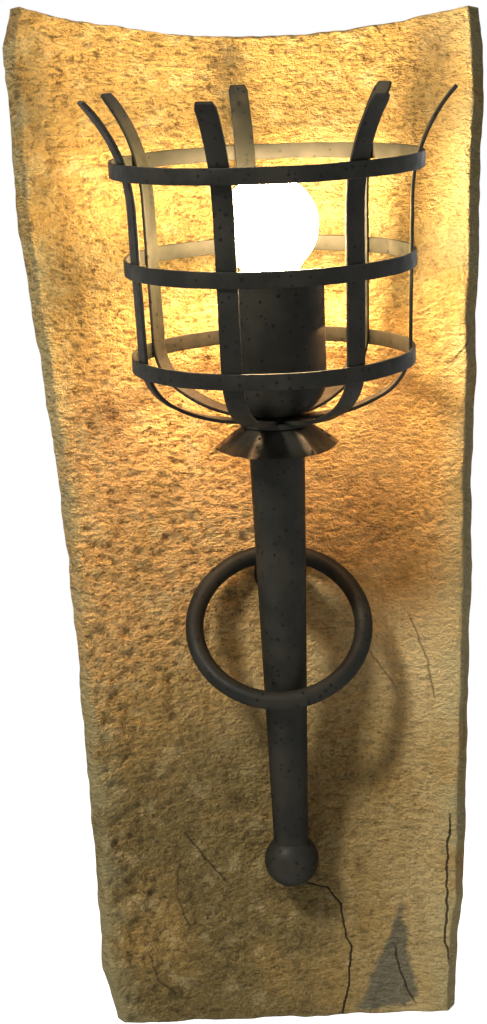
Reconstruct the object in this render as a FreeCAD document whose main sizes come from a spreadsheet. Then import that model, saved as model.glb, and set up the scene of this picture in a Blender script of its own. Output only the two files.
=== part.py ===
# Torch sconce: a wrought-iron torch with a strap basket, on a concave clay back slab.
#
# The wall is the plane Y = 0 and the room is on the -Y side. +Z is up. The origin
# is midway between the two wall screws. The torch is laid out along its own axis,
# which leans forward, with its zero at the centre of the ball at the lower end;
# TorchFrame carries it to its place. Lengths are millimetres, angles degrees.
import FreeCAD, Part
import Sketcher
import math
import os
import re

V = FreeCAD.Vector

# name, value, what it is
SIZES = [
    # wall bracket: a hat-shaped strip, flat on the wall at both ends
    ("bracket_depth", 14, "wall to the front of the raised web"),
    ("bracket_width", 50, "width of the strip"),
    ("bracket_gauge", 3, "thickness of the strip"),
    ("bracket_length", 308, "overall height of the strip"),
    ("pad_length", 32, "length of each end pad"),
    ("wall_hole_end", 17, "end of the strip to the nearer wall screw"),
    ("fix_end", 60, "end of the strip to the nearer of the torch's two fixings"),
    ("wall_hole_r", 3.25, "wall screw hole"),
    ("hook_travel", 14, "how far the torch drops into the keyholes"),
    ("upper_entry_r", 9, "upper keyhole, round part"),
    ("lower_entry_r", 6.8, "lower keyhole, round part"),
    # back slab: a tapered clay trough, hollow side to the front
    ("slab_gauge", 18, "thickness"),
    ("slab_curve_r", 240, "radius of the hollow front"),
    ("slab_offset", 8, "trough axis to the left of the torch"),
    ("flat_depth", 2.2, "ground flat that seats the bracket"),
    ("slab_top", 459, "top edge above the origin"),
    ("slab_top_dip", 6, "sag of the top edge at mid-width"),
    ("slab_bottom", 197, "bottom edge below the origin"),
    ("slab_bottom_bow", 8, "bow of the bottom edge at mid-width"),
    ("slab_half_top", 150, "half width at the top edge"),
    ("slab_half_shoulder", 154, "half width at the shoulder, the widest place"),
    ("slab_half_upper", 150.5, "half width beside the basket"),
    ("slab_half_high", 139.5, "half width beside the drip collar"),
    ("slab_half_mid", 130, "half width beside the ring"),
    ("slab_half_low", 123.5, "half width beside the shaft"),
    ("slab_half_foot", 119.5, "half width above the foot"),
    ("slab_half_bottom", 111, "half width at the bottom edge"),
    ("slab_worn_edge", 4, "worn corners of the long edges"),
    # the two fixings through the slab
    ("ball_standoff", 20, "slab front to the centre of the ball"),
    ("tube_r", 5, "hollow threaded tube M10x1"),
    ("tube_bore_r", 3.5, "its cable passage"),
    ("wire_hole_r", 4, "cable passage on through the spigot and the shaft wall"),
    ("tube_clear", 0.5, "hole over the tube"),
    ("tube_grip", 10, "tube screwed into the spigot"),
    ("tube_tail", 7, "rear end of the tube behind the web"),
    ("stud_r", 3, "lower stud M6"),
    ("stud_clear", 0.5, "hole over the stud"),
    ("stud_grip", 12, "stud screwed into the ball"),
    ("stud_tail", 7.5, "rear end of the stud behind the web"),
    ("washer_gauge", 1.2, "plain washers"),
    ("tube_washer_r", 10, "washer on the tube"),
    ("stud_washer_r", 7, "washer on the stud"),
    ("tube_nut_r", 8.08, "nut M10x1, across its corners, half"),
    ("tube_nut_height", 4, "its height"),
    ("stud_nut_r", 5.77, "nut M6, across its corners, half"),
    ("stud_nut_height", 5, "its height"),
    ("flange_r", 17, "washer plate behind the ring's groove"),
    ("flange_gauge", 2, "its thickness"),
    ("spacer_r", 8, "spacer behind the ball"),
    ("spigot_r", 11, "spigot, full part"),
    ("groove_r", 7.4, "spigot, turned groove that carries the ring"),
    ("groove_width", 14, "width of the groove"),
    # hanging ring
    ("hoop_ring_r", 54.8, "ring, centre line"),
    ("ring_bar_r", 5.87, "ring, round bar"),
    ("ring_play", 0.45, "ring to the washer plate"),
    ("ring_rest_gap", 0.3, "ring to the groove and to the shaft"),
    ("ring_shift", 2.4, "ring hangs to the left of the torch axis"),
    # shaft and ball
    ("lean", 14, "forward lean of the torch"),
    ("ball_r", 17.8, "ball end"),
    ("shaft_low_r", 11.26, "shaft at the ball"),
    ("shaft_top_r", 17.8, "shaft under the drip collar"),
    ("shaft_gauge", 2, "wall of the shaft"),
    ("shaft_length", 277.4, "shaft, ball to drip collar"),
    ("neck_length", 14, "neck of the ball inside the shaft"),
    ("plug_depth", 8, "threaded plug in the top of the shaft"),
    ("slip", 0.1, "slip fit of the plug and the neck"),
    # drip collar: a skirt of folded sheet with six ridges
    ("collar_gauge", 2, "thickness"),
    ("collar_top_r", 20.4, "flat top"),
    ("collar_ridge_r", 39.5, "rim at the ridges"),
    ("collar_valley_r", 35.6, "rim at the valleys"),
    ("collar_drop", 14.4, "height of the skirt"),
    ("collar_phase", -25, "first ridge from the front"),
    ("collar_wall", 2.6, "wall of the skirt, measured level"),
    # basket
    ("hub_r", 22, "hub disc"),
    ("hub_gauge", 3, "its thickness"),
    ("hub_boss_r", 14.6, "boss that the strap ends butt against"),
    ("strap_width", 12.5, "straps"),
    ("strap_gauge", 2.2, "their thickness"),
    ("strap_phase", -18, "first strap from the front"),
    ("strap_start_r", 15, "inner end of a strap"),
    ("strap_flat_r", 16.5, "where the bowl begins"),
    ("bowl_bend_r", 100, "shallow bend under the basket"),
    ("bowl_bend_angle", 30, "its turn"),
    ("corner_bend_r", 35, "tight bend at the foot of the basket"),
    ("strap_taper", 1.74, "outward slope of the straight part"),
    ("strap_straight", 90, "length of the straight part"),
    ("flare_bend_r", 97, "bend of the flared tips"),
    ("flare_angle", 44, "slope at the tips"),
    ("tip_clip", 1.6, "clipped corners of the tips"),
    ("hoop_gauge", 2, "hoops"),
    ("hoop_height", 9.7, "their height"),
    ("hoop_low_rise", 43.9, "top edge of the low hoop above the hub"),
    ("hoop_mid_rise", 102.9, "top edge of the middle hoop above the hub"),
    ("hoop_top_rise", 161.6, "top edge of the top hoop above the hub"),
    ("hoop_seat", 0.05, "hoops over the straps"),
    # lamp cup and lampholder
    ("cup_r", 32.3, "lamp cup"),
    ("cup_height", 85.6, "its height"),
    ("cup_gauge", 1.6, "its wall"),
    ("cup_corner_r", 23.5, "rounding of its foot"),
    ("hub_washer_r", 8.6, "washer under the hub nut"),
    ("nut_height", 3, "hub nut M10x1"),
    ("base_gauge", 2, "threaded base plate of the lampholder"),
    ("holder_r", 20.5, "porcelain lampholder, lower part"),
    ("holder_head_r", 22.5, "its head"),
    ("holder_head", 26, "height of the head"),
    ("holder_height", 56, "height of the porcelain"),
    ("holder_wall", 5, "wall round the terminal space"),
    ("holder_terminal_depth", 20, "depth of the terminal space"),
    ("contact_rivet_r", 3, "centre contact, rivet"),
    ("contact_r", 6, "centre contact, plate"),
    ("shell_gauge", 0.4, "threaded shell"),
    ("shell_depth", 25.8, "holder mouth to the floor of the shell"),
    # lamp: E27 screw cap, 60 mm globe
    ("cap_r", 13.2, "screw cap"),
    ("cap_height", 23, "its height"),
    ("cap_play", 0.3, "cap to the threaded shell"),
    ("insulator_height", 4, "glass insulator under the cap"),
    ("insulator_r", 9, "its foot"),
    ("tip_r", 4.8, "solder contact"),
    ("tip_height", 0.8, "its height"),
    ("tip_gap", 0.3, "lamp tip to the centre contact"),
    ("globe_r", 30, "globe"),
    ("lamp_length", 107, "overall length of the lamp"),
    ("lamp_neck_r", 14.5, "neck"),
    ("lamp_neck_bend_r", 30, "bend between neck and globe"),
    ("glass_gauge", 1, "glass"),
]

# name, formula from the sizes and from the lines above it
LAYOUT = [
    # distances out from the wall
    ("web_rear", "bracket_depth - bracket_gauge"),
    ("slab_back", "bracket_depth - flat_depth"),
    ("seat", "slab_back + slab_gauge"),
    ("ball_out", "seat + ball_standoff"),
    # up and down the bracket, which sets the places of the screws and the fixings
    ("wall_hole_z", "bracket_length / 2 - wall_hole_end"),
    ("fix_z", "bracket_length / 2 - fix_end"),
    ("groove_rear", "seat + flange_gauge"),
    ("groove_front", "groove_rear + groove_width"),
    # the ring hangs in the groove and rests on the front of the shaft
    ("pivot_out", "groove_rear + ring_play + ring_bar_r"),
    ("pivot_z", "fix_z + groove_r + ring_bar_r + ring_rest_gap"),
    ("land", "sqrt(ball_r^2 - shaft_low_r^2)"),
    ("shaft_slope", "lean + atan((shaft_top_r - shaft_low_r) / shaft_length) / 1 deg"),
    ("front_out", "ball_out + land * sin(lean) + shaft_low_r * cos(lean)"),
    ("front_z", "-fix_z + land * cos(lean) - shaft_low_r * sin(lean)"),
    ("ring_reach", "ring_bar_r + ring_rest_gap + (front_out - pivot_out) * cos(shaft_slope)"
                   " + (pivot_z - front_z) * sin(shaft_slope)"),
    ("ring_tilt", "asin(ring_reach / (2 * hoop_ring_r)) / 1 deg - shaft_slope"),
    # levels along the torch, from the centre of the ball
    ("shaft_end", "land + shaft_length"),
    ("collar_top", "shaft_end + collar_gauge"),
    ("hub_top", "collar_top + hub_gauge"),
    ("strap_level", "hub_top + strap_gauge / 2"),
    ("cup_base", "hub_top + strap_gauge"),
    ("cup_floor", "cup_base + cup_gauge"),
    ("nut_base", "cup_floor + washer_gauge"),
    ("plate_base", "nut_base + nut_height"),
    ("holder_base", "plate_base + base_gauge"),
    ("holder_top", "holder_base + holder_height"),
    ("shell_floor", "holder_top - shell_depth"),
    ("lamp_tip", "shell_floor + contact_r / 3 + tip_gap"),
    ("cap_base", "lamp_tip + tip_height + insulator_height"),
    ("cap_top", "cap_base + cap_height"),
    ("globe_level", "lamp_tip + lamp_length - globe_r"),
    # neck bend of the lamp: tangent to the neck and to the globe
    ("neck_level", "globe_level - sqrt((globe_r + lamp_neck_bend_r)^2 - (lamp_neck_r + lamp_neck_bend_r)^2)"),
    ("globe_share", "globe_r / (globe_r + lamp_neck_bend_r)"),
    # centre line of a strap, in its own radial plane
    ("bowl_end_r", "strap_flat_r + bowl_bend_r * sin(bowl_bend_angle)"),
    ("bowl_end", "strap_level + bowl_bend_r * (1 - cos(bowl_bend_angle))"),
    ("corner_end_r", "bowl_end_r + corner_bend_r * (cos(strap_taper) - sin(bowl_bend_angle))"),
    ("corner_end", "bowl_end + corner_bend_r * (cos(bowl_bend_angle) - sin(strap_taper))"),
    ("flare_start_r", "corner_end_r + strap_straight * sin(strap_taper)"),
    ("flare_start", "corner_end + strap_straight * cos(strap_taper)"),
    ("tip_out_r", "flare_start_r + flare_bend_r * (cos(strap_taper) - cos(flare_angle))"),
    ("tip_level", "flare_start + flare_bend_r * (sin(flare_angle) - sin(strap_taper))"),
    # hoops: inside radius = outer face of the straps at the hoop's top edge
    ("hoop_low_top", "hub_top + hoop_low_rise"),
    ("hoop_mid_top", "hub_top + hoop_mid_rise"),
    ("hoop_top_top", "hub_top + hoop_top_rise"),
    ("strap_face", "strap_gauge / 2 / cos(strap_taper) + hoop_seat"),
    ("hoop_low_r", "corner_end_r + (hoop_low_top - corner_end) * tan(strap_taper) + strap_face"),
    ("hoop_mid_r", "corner_end_r + (hoop_mid_top - corner_end) * tan(strap_taper) + strap_face"),
    ("top_slope", "asin(sin(strap_taper) + (hoop_top_top - flare_start) / flare_bend_r) / 1 deg"),
    ("hoop_top_r", "flare_start_r + flare_bend_r * (cos(strap_taper) - cos(top_slope))"
                   " + strap_gauge / 2 / cos(top_slope) + hoop_seat"),
]

SIZE_NAMES = {name for name, _, _ in SIZES}
LAYOUT_NAMES = {name for name, _ in LAYOUT}

doc = FreeCAD.newDocument("TorchSconce")
sheet = doc.addObject("Spreadsheet::Sheet", "Sizes")
for row, (name, value, note) in enumerate(SIZES, 1):
    sheet.set(f"A{row}", name)
    sheet.set(f"B{row}", str(value))
    sheet.set(f"C{row}", note)
    sheet.setAlias(f"B{row}", name)
doc.recompute()


def formula(text):
    """Spell out where each name in a formula is kept."""
    def owner(match):
        word = match.group(0)
        if word in SIZE_NAMES:
            return "Sizes." + word
        if word in LAYOUT_NAMES:
            return "Layout." + word
        return word
    return re.sub(r"(?<![\w.])[a-z][a-z_0-9]*", owner, str(text))


layout = doc.addObject("App::VarSet", "Layout")
for name, text in LAYOUT:
    layout.addProperty("App::PropertyFloat", name, "Layout")
    layout.setExpression(name, formula(text))
doc.recompute()


def value(text):
    """The present value of a formula."""
    return float(layout.evalExpression(formula(text)))


def bind(obj, **formulas):
    """Tie properties of an object to formulas."""
    for prop, text in formulas.items():
        obj.setExpression(prop, formula(text))
    return obj


def place(obj, x="0", y="0", z="0", axis=(0, 0, 1), angle="0", torch=False):
    """Tie an object's place to formulas, in the wall frame or along the torch."""
    text = ("create(<<placement>>; create(<<vector>>; %s; %s; %s); create(<<rotation>>; "
            "create(<<vector>>; %g; %g; %g); %s))" % (formula(x), formula(y), formula(z), *axis, formula(angle)))
    obj.setExpression("Placement", ("TorchFrame.Placement * " if torch else "") + text)
    return obj


torch_frame = doc.addObject("PartDesign::CoordinateSystem", "TorchFrame")
place(torch_frame, y="-ball_out", z="-fix_z", axis=(1, 0, 0), angle="lean")

TO_FRONT = dict(axis=(1, 0, 0), angle="90")     # turns a primitive's axis from +Z to -Y


def rod(name, radius, length, **where):
    """A cylinder from its base point along its axis."""
    return place(bind(doc.addObject("Part::Cylinder", name), Radius=radius, Height=length), **where)


def cone(name, radius_low, radius_high, length, **where):
    return place(bind(doc.addObject("Part::Cone", name),
                      Radius1=radius_low, Radius2=radius_high, Height=length), **where)


def nut_prism(name, corner_r, height, **where):
    prism = bind(doc.addObject("Part::Prism", name), Circumradius=corner_r, Height=height)
    prism.Polygon = 6
    return place(prism, **where)


def fuse(name, *parts):
    both = doc.addObject("Part::MultiFuse", name)
    both.Shapes = list(parts)
    return both


def cut(name, base, tool):
    less = doc.addObject("Part::Cut", name)
    less.Base, less.Tool = base, tool
    return less


NODES = []


def node(obj, label=None):
    """Count an object as one piece of the sconce."""
    obj.Label = label or obj.Name
    NODES.append(obj)
    return obj


def origin_plane(body, role):
    return [f for f in body.Origin.OriginFeatures if f.Role == role][0]


def outline(body, name, role, points, radii=(), closed=True):
    """A sketch through points given as formulas; radii maps a side to its arc's radius and bulge point."""
    sketch = body.newObject("Sketcher::SketchObject", name)
    sketch.AttachmentSupport = [(origin_plane(body, role), "")]
    sketch.MapMode = "FlatFace"
    spots = [V(value(x), value(y), 0) for x, y in points]
    radii = dict(radii)
    sides = len(points) if closed else len(points) - 1
    ends = []
    for i in range(sides):
        a, b = spots[i], spots[(i + 1) % len(spots)]
        if i in radii:
            radius, bulge = radii[i]
            through = V(value(bulge[0]), value(bulge[1]), 0)
            arc = Part.Arc(a, through, b)
            g = sketch.addGeometry(arc)
            flipped = sketch.getPoint(g, 1).distanceToPoint(a) > 1e-6
            ends.append((g, 2, 1) if flipped else (g, 1, 2))
            c = sketch.addConstraint(Sketcher.Constraint("Radius", g, value(radius)))
            sketch.setExpression(f"Constraints[{c}]", formula(radius))
        else:
            g = sketch.addGeometry(Part.LineSegment(a, b))
            ends.append((g, 1, 2))
    for i in range(sides):
        g, start, end = ends[i]
        if closed or i < sides - 1:
            h, h_start, _ = ends[(i + 1) % sides]
            sketch.addConstraint(Sketcher.Constraint("Coincident", g, end, h, h_start))
        corners = [(start, i)] + ([(end, i + 1)] if not closed and i == sides - 1 else [])
        for corner, k in corners:
            for kind, text in zip(("DistanceX", "DistanceY"), points[k]):
                c = sketch.addConstraint(Sketcher.Constraint(kind, -1, 1, g, corner, value(text)))
                sketch.setExpression(f"Constraints[{c}]", formula(text))
    return sketch


def turned(name, points, radii=(), **where):
    """A piece turned about its own Z axis, from a closed outline of (radius, height) points."""
    body = doc.addObject("PartDesign::Body", name)
    sketch = outline(body, name + "_outline", "XZ_Plane", points, radii)
    turn = body.newObject("PartDesign::Revolution", name + "_turned")
    turn.Profile = sketch
    turn.ReferenceAxis = (sketch, ["V_Axis"])
    turn.Angle = 360
    body.Tip = turn
    return place(body, **where)


def remove(body, kind, name, x="0", y="0", z="0", axis=(0, 0, 1), angle="0", **sizes):
    """Take a primitive out of a body."""
    tool = body.newObject("PartDesign::Subtractive" + kind, name)
    bind(tool, **sizes)
    place(tool, x, y, z, axis, angle)
    body.Tip = tool
    return tool


# ---------------------------------------------------------------- wall bracket
# A strip bent like a hat: end pads flat on the wall, the web raised so that the
# nuts on the torch's fixings pass through its keyholes and sit behind it.
bracket = doc.addObject("PartDesign::Body", "wall_bracket")
half, pad = "bracket_length / 2", "bracket_length / 2 - pad_length"
lift = "bracket_length / 2 - pad_length - web_rear"
bend = "bracket_gauge * 0.4142"
hat = outline(bracket, "bracket_outline", "YZ_Plane", [
    ("0", f"-({half})"), ("0", f"-({pad})"), ("-web_rear", f"-({lift})"), ("-web_rear", lift),
    ("0", pad), ("0", half), ("-bracket_gauge", half), ("-bracket_gauge", f"{pad} + {bend}"),
    ("-bracket_depth", f"{lift} + {bend}"), ("-bracket_depth", f"-({lift} + {bend})"),
    ("-bracket_gauge", f"-({pad} + {bend})"), ("-bracket_gauge", f"-({half})")])
strip = bracket.newObject("PartDesign::Pad", "bracket_strip")
strip.Profile = hat
strip.SideType = "Symmetric"
bind(strip, Length="bracket_width")
for side, sign in (("upper", ""), ("lower", "-")):
    remove(bracket, "Cylinder", f"{side}_wall_hole", y="1", z=f"{sign}wall_hole_z", **TO_FRONT,
           Radius="wall_hole_r", Height="bracket_gauge + 2")
for side, sign, rest_r in (("upper", "", "tube_r + tube_clear"), ("lower", "-", "stud_r + stud_clear")):
    rest = f"{sign}fix_z"
    remove(bracket, "Cylinder", f"{side}_key_rest", y="1 - web_rear", z=rest, **TO_FRONT,
           Radius=rest_r, Height="bracket_gauge + 2")
    remove(bracket, "Cylinder", f"{side}_key_entry", y="1 - web_rear", z=f"{rest} + hook_travel", **TO_FRONT,
           Radius=f"{side}_entry_r", Height="bracket_gauge + 2")
    remove(bracket, "Box", f"{side}_key_slot", x=f"-({rest_r})", y="-bracket_depth - 1", z=rest,
           Length=f"2 * ({rest_r})", Width="bracket_gauge + 2", Height="hook_travel")
node(bracket)


# ------------------------------------------------------------------ back slab
# Level sections of the trough, radial at its long edges, lofted from foot to
# top. The top and bottom edges are trimmed to their sag and bow, and the seats
# for the bracket, the washer plate and the spacer are ground flat.
def slab_section(half_width, z):
    """One level section of the trough: two arcs joined by worn, radial ends, the outer corner widest."""
    inner, gauge, worn = value("slab_curve_r"), value("slab_gauge"), value("slab_worn_edge")
    outer = inner + gauge
    centre = V(-value("slab_offset"), -value("slab_back") - outer, z)
    swing = math.asin(half_width / (outer - worn))

    def spot(radius, angle):
        return V(centre.x + radius * math.sin(angle), centre.y + radius * math.cos(angle), z)

    def arc(radius, angle):
        return Part.Arc(spot(radius, -angle), spot(radius, 0), spot(radius, angle)).toShape()

    near, far = swing - worn / inner, swing - worn / outer
    edges = [arc(inner, near)]
    edges += [Part.makeLine(spot(inner, near), spot(inner + worn, swing)),
              Part.makeLine(spot(inner + worn, swing), spot(outer - worn, swing)),
              Part.makeLine(spot(outer - worn, swing), spot(outer, far))]
    edges += [arc(outer, far)]
    edges += [Part.makeLine(spot(outer, -far), spot(outer - worn, -swing)),
              Part.makeLine(spot(outer - worn, -swing), spot(inner + worn, -swing)),
              Part.makeLine(spot(inner + worn, -swing), spot(inner, -near))]
    return Part.Wire(Part.__sortEdges__(edges))


top, bottom = value("slab_top"), -value("slab_bottom")
dip, bow = value("slab_top_dip"), value("slab_bottom_bow")
rise = top - bottom
stations = [(value("slab_half_bottom"), bottom - 1.5 * bow), (value("slab_half_bottom"), bottom),
            (value("slab_half_foot"), bottom + 0.08 * rise), (value("slab_half_low"), bottom + 0.225 * rise),
            (value("slab_half_mid"), bottom + 0.42 * rise), (value("slab_half_high"), bottom + 0.605 * rise),
            (value("slab_half_upper"), bottom + 0.82 * rise), (value("slab_half_shoulder"), bottom + 0.965 * rise),
            (value("slab_half_top"), top + dip)]
trough = Part.makeLoft([slab_section(w, z) for w, z in stations], True, True)

wide = 2 * value("slab_half_shoulder")
x0 = -value("slab_offset")
trim_sides = [Part.Arc(V(x0 - wide / 2, 0, top), V(x0, 0, top - dip), V(x0 + wide / 2, 0, top)).toShape(),
              Part.makeLine(V(x0 + wide / 2, 0, top), V(x0 + wide / 2, 0, bottom)),
              Part.Arc(V(x0 + wide / 2, 0, bottom), V(x0, 0, bottom - bow), V(x0 - wide / 2, 0, bottom)).toShape(),
              Part.makeLine(V(x0 - wide / 2, 0, bottom), V(x0 - wide / 2, 0, top))]
trim = Part.Face(Part.Wire(trim_sides)).extrude(V(0, -2 * value("slab_curve_r"), 0))
blank = doc.addObject("Part::Feature", "slab_trough")
blank.Shape = trough.common(trim)

seat_upper = rod("slab_upper_seat", "flange_r + 1", "slab_gauge", y="-seat", z="fix_z", **TO_FRONT)
seat_lower = rod("slab_lower_seat", "spacer_r + 1", "slab_gauge", y="-seat", z="-fix_z", **TO_FRONT)
hole_upper = rod("slab_tube_hole", "tube_r + tube_clear", "2 * seat", **TO_FRONT, z="fix_z")
hole_lower = rod("slab_stud_hole", "stud_r + stud_clear", "2 * seat", **TO_FRONT, z="-fix_z")
flat = bind(doc.addObject("Part::Box", "slab_bracket_flat"), Length="bracket_width + 4",
            Width="bracket_depth", Height="bracket_length + 4")
place(flat, x="-(bracket_width + 4) / 2", y="-bracket_depth", z="-(bracket_length + 4) / 2")
node(cut("back_slab", blank, fuse("slab_openings", seat_upper, seat_lower, hole_upper, hole_lower, flat)))

# ------------------------------------------------- upper fixing: hollow spigot
# The spigot is welded to the back of the shaft, so its front follows the taper.
# Its rear end is turned down to the groove that the hanging ring lies in.
spigot_full = rod("spigot_full", "spigot_r", "ball_out + 2 * fix_z * tan(lean) - groove_front",
                  y="-groove_front", z="fix_z", **TO_FRONT)
spigot_groove = rod("spigot_groove", "groove_r", "groove_width + 1", y="-groove_rear", z="fix_z", **TO_FRONT)
spigot_bore = rod("spigot_bore", "wire_hole_r", "ball_out + 2 * fix_z", y="-groove_rear", z="fix_z", **TO_FRONT)
spigot_thread = rod("spigot_thread", "tube_r", "tube_grip", y="-groove_rear", z="fix_z", **TO_FRONT)
shaft_form = cone("spigot_cope", "shaft_low_r", "shaft_top_r", "shaft_length", z="land", torch=True)
node(cut("spigot", fuse("spigot_bar", spigot_full, spigot_groove),
         fuse("spigot_cuts", spigot_bore, spigot_thread, shaft_form)))

node(cut("ring_flange", rod("flange_disc", "flange_r", "flange_gauge", y="-seat", z="fix_z", **TO_FRONT),
         rod("flange_hole", "tube_r + tube_clear", "flange_gauge", y="-seat", z="fix_z", **TO_FRONT)))
node(cut("spigot_tube",
         rod("spigot_tube_bar", "tube_r", "groove_rear + tube_grip - web_rear + tube_tail",
             y="tube_tail - web_rear", z="fix_z", **TO_FRONT),
         rod("spigot_tube_bore", "tube_bore_r", "groove_rear + tube_grip - web_rear + tube_tail",
             y="tube_tail - web_rear", z="fix_z", **TO_FRONT)))
node(cut("spigot_washer",
         rod("spigot_washer_disc", "tube_washer_r", "washer_gauge", y="washer_gauge - web_rear", z="fix_z", **TO_FRONT),
         rod("spigot_washer_hole", "tube_r", "washer_gauge", y="washer_gauge - web_rear", z="fix_z", **TO_FRONT)))
node(cut("spigot_nut",
         nut_prism("spigot_nut_hex", "tube_nut_r", "tube_nut_height",
                   y="washer_gauge + tube_nut_height - web_rear", z="fix_z", **TO_FRONT),
         rod("spigot_nut_hole", "tube_r", "tube_nut_height",
             y="washer_gauge + tube_nut_height - web_rear", z="fix_z", **TO_FRONT)))

# -------------------------------------------- lower fixing: stud into the ball
ball_form = place(bind(doc.addObject("Part::Sphere", "spacer_hollow"), Radius="ball_r"), torch=True)
node(cut("ball_spacer", rod("spacer_bar", "spacer_r", "ball_standoff", y="-seat", z="-fix_z", **TO_FRONT),
         fuse("spacer_cuts", ball_form,
              rod("spacer_hole", "stud_r", "ball_standoff", y="-seat", z="-fix_z", **TO_FRONT))))
stud_reach = "ball_out - ball_r + stud_grip - web_rear + stud_tail"
node(rod("lower_stud", "stud_r", stud_reach, y="stud_tail - web_rear", z="-fix_z", **TO_FRONT))
node(cut("lower_washer",
         rod("lower_washer_disc", "stud_washer_r", "washer_gauge", y="washer_gauge - web_rear", z="-fix_z", **TO_FRONT),
         rod("lower_washer_hole", "stud_r", "washer_gauge", y="washer_gauge - web_rear", z="-fix_z", **TO_FRONT)))
node(cut("lower_nut",
         nut_prism("lower_nut_hex", "stud_nut_r", "stud_nut_height",
                   y="washer_gauge + stud_nut_height - web_rear", z="-fix_z", **TO_FRONT),
         rod("lower_nut_hole", "stud_r", "stud_nut_height",
             y="washer_gauge + stud_nut_height - web_rear", z="-fix_z", **TO_FRONT)))

# ------------------------------------------------------------- shaft and ball
shaft_out = cone("shaft_outside", "shaft_low_r", "shaft_top_r", "shaft_length", z="land", torch=True)
shaft_in = cone("shaft_inside", "shaft_low_r - shaft_gauge", "shaft_top_r - shaft_gauge", "shaft_length",
                z="land", torch=True)
wire_hole = rod("shaft_wire_hole", "wire_hole_r", "ball_out + fix_z * tan(lean) - groove_front",
                y="-groove_front", z="fix_z", **TO_FRONT)
node(cut("shaft", shaft_out, fuse("shaft_hollow", shaft_in, wire_hole)))

ball = place(bind(doc.addObject("Part::Sphere", "ball"), Radius="ball_r"), torch=True)
ball_top = rod("ball_land", "ball_r", "ball_r", z="land", torch=True)
ball_neck = rod("ball_neck", "shaft_low_r - shaft_gauge - slip", "neck_length + 1", z="land - 1", torch=True)
ball_tap = rod("ball_tapping", "stud_r", "ball_standoff + stud_grip - ball_r", y="-seat", z="-fix_z", **TO_FRONT)
node(cut("ball_end", fuse("ball_and_neck", cut("ball_flat", ball, ball_top), ball_neck), ball_tap))

node(cut("shaft_plug",
         cone("plug_cone", "shaft_top_r - shaft_gauge - slip - plug_depth * (shaft_top_r - shaft_low_r) / shaft_length",
              "shaft_top_r - shaft_gauge - slip", "plug_depth", z="shaft_end - plug_depth", torch=True),
         rod("plug_hole", "tube_r", "plug_depth", z="shaft_end - plug_depth", torch=True)))


# ---------------------------------------------------------------- drip collar
# Folded sheet: a flat top, and a skirt whose rim runs between six ridges and
# six valleys. Skirt and hollow are ruled from a twelve-sided top to that rim.
def folded_rim(ridge_r, valley_r, z):
    """Twelve folds at one level, alternately a ridge and a valley."""
    phase = math.radians(value("collar_phase"))
    folds = []
    for k in range(12):
        r = valley_r if k % 2 else ridge_r
        a = phase + k * math.pi / 6
        folds.append(V(r * math.sin(a), -r * math.cos(a), z))
    return Part.makePolygon(folds + folds[:1])


level, fall, wall = value("collar_top"), value("collar_drop"), value("collar_wall")
rim_z, hollow_z = level - fall, value("shaft_end")
lean_in = (value("collar_ridge_r") - value("collar_top_r")) / fall
hollow_r = value("collar_top_r") + lean_in * value("collar_gauge") - wall
skirt = Part.makeLoft([folded_rim(value("collar_top_r"), value("collar_top_r"), level),
                       folded_rim(value("collar_ridge_r"), value("collar_valley_r"), rim_z)], True, True)
hollow = Part.makeLoft([folded_rim(hollow_r, hollow_r, hollow_z),
                        folded_rim(value("collar_ridge_r") - wall, value("collar_valley_r") - wall, rim_z)],
                       True, True)
collar_hole = Part.makeCylinder(value("tube_r"), fall, V(0, 0, rim_z))
collar = doc.addObject("Part::Feature", "drip_collar")
collar.Shape = skirt.cut(hollow.fuse(collar_hole)).removeSplitter()
place(collar, torch=True)
node(collar)

# --------------------------------------------------------------------- basket
node(turned("basket_hub", [
    ("tube_r", "collar_top"), ("hub_r", "collar_top"), ("hub_r", "hub_top"), ("hub_boss_r", "hub_top"),
    ("hub_boss_r", "cup_base"), ("tube_r", "cup_base")], torch=True))

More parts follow.
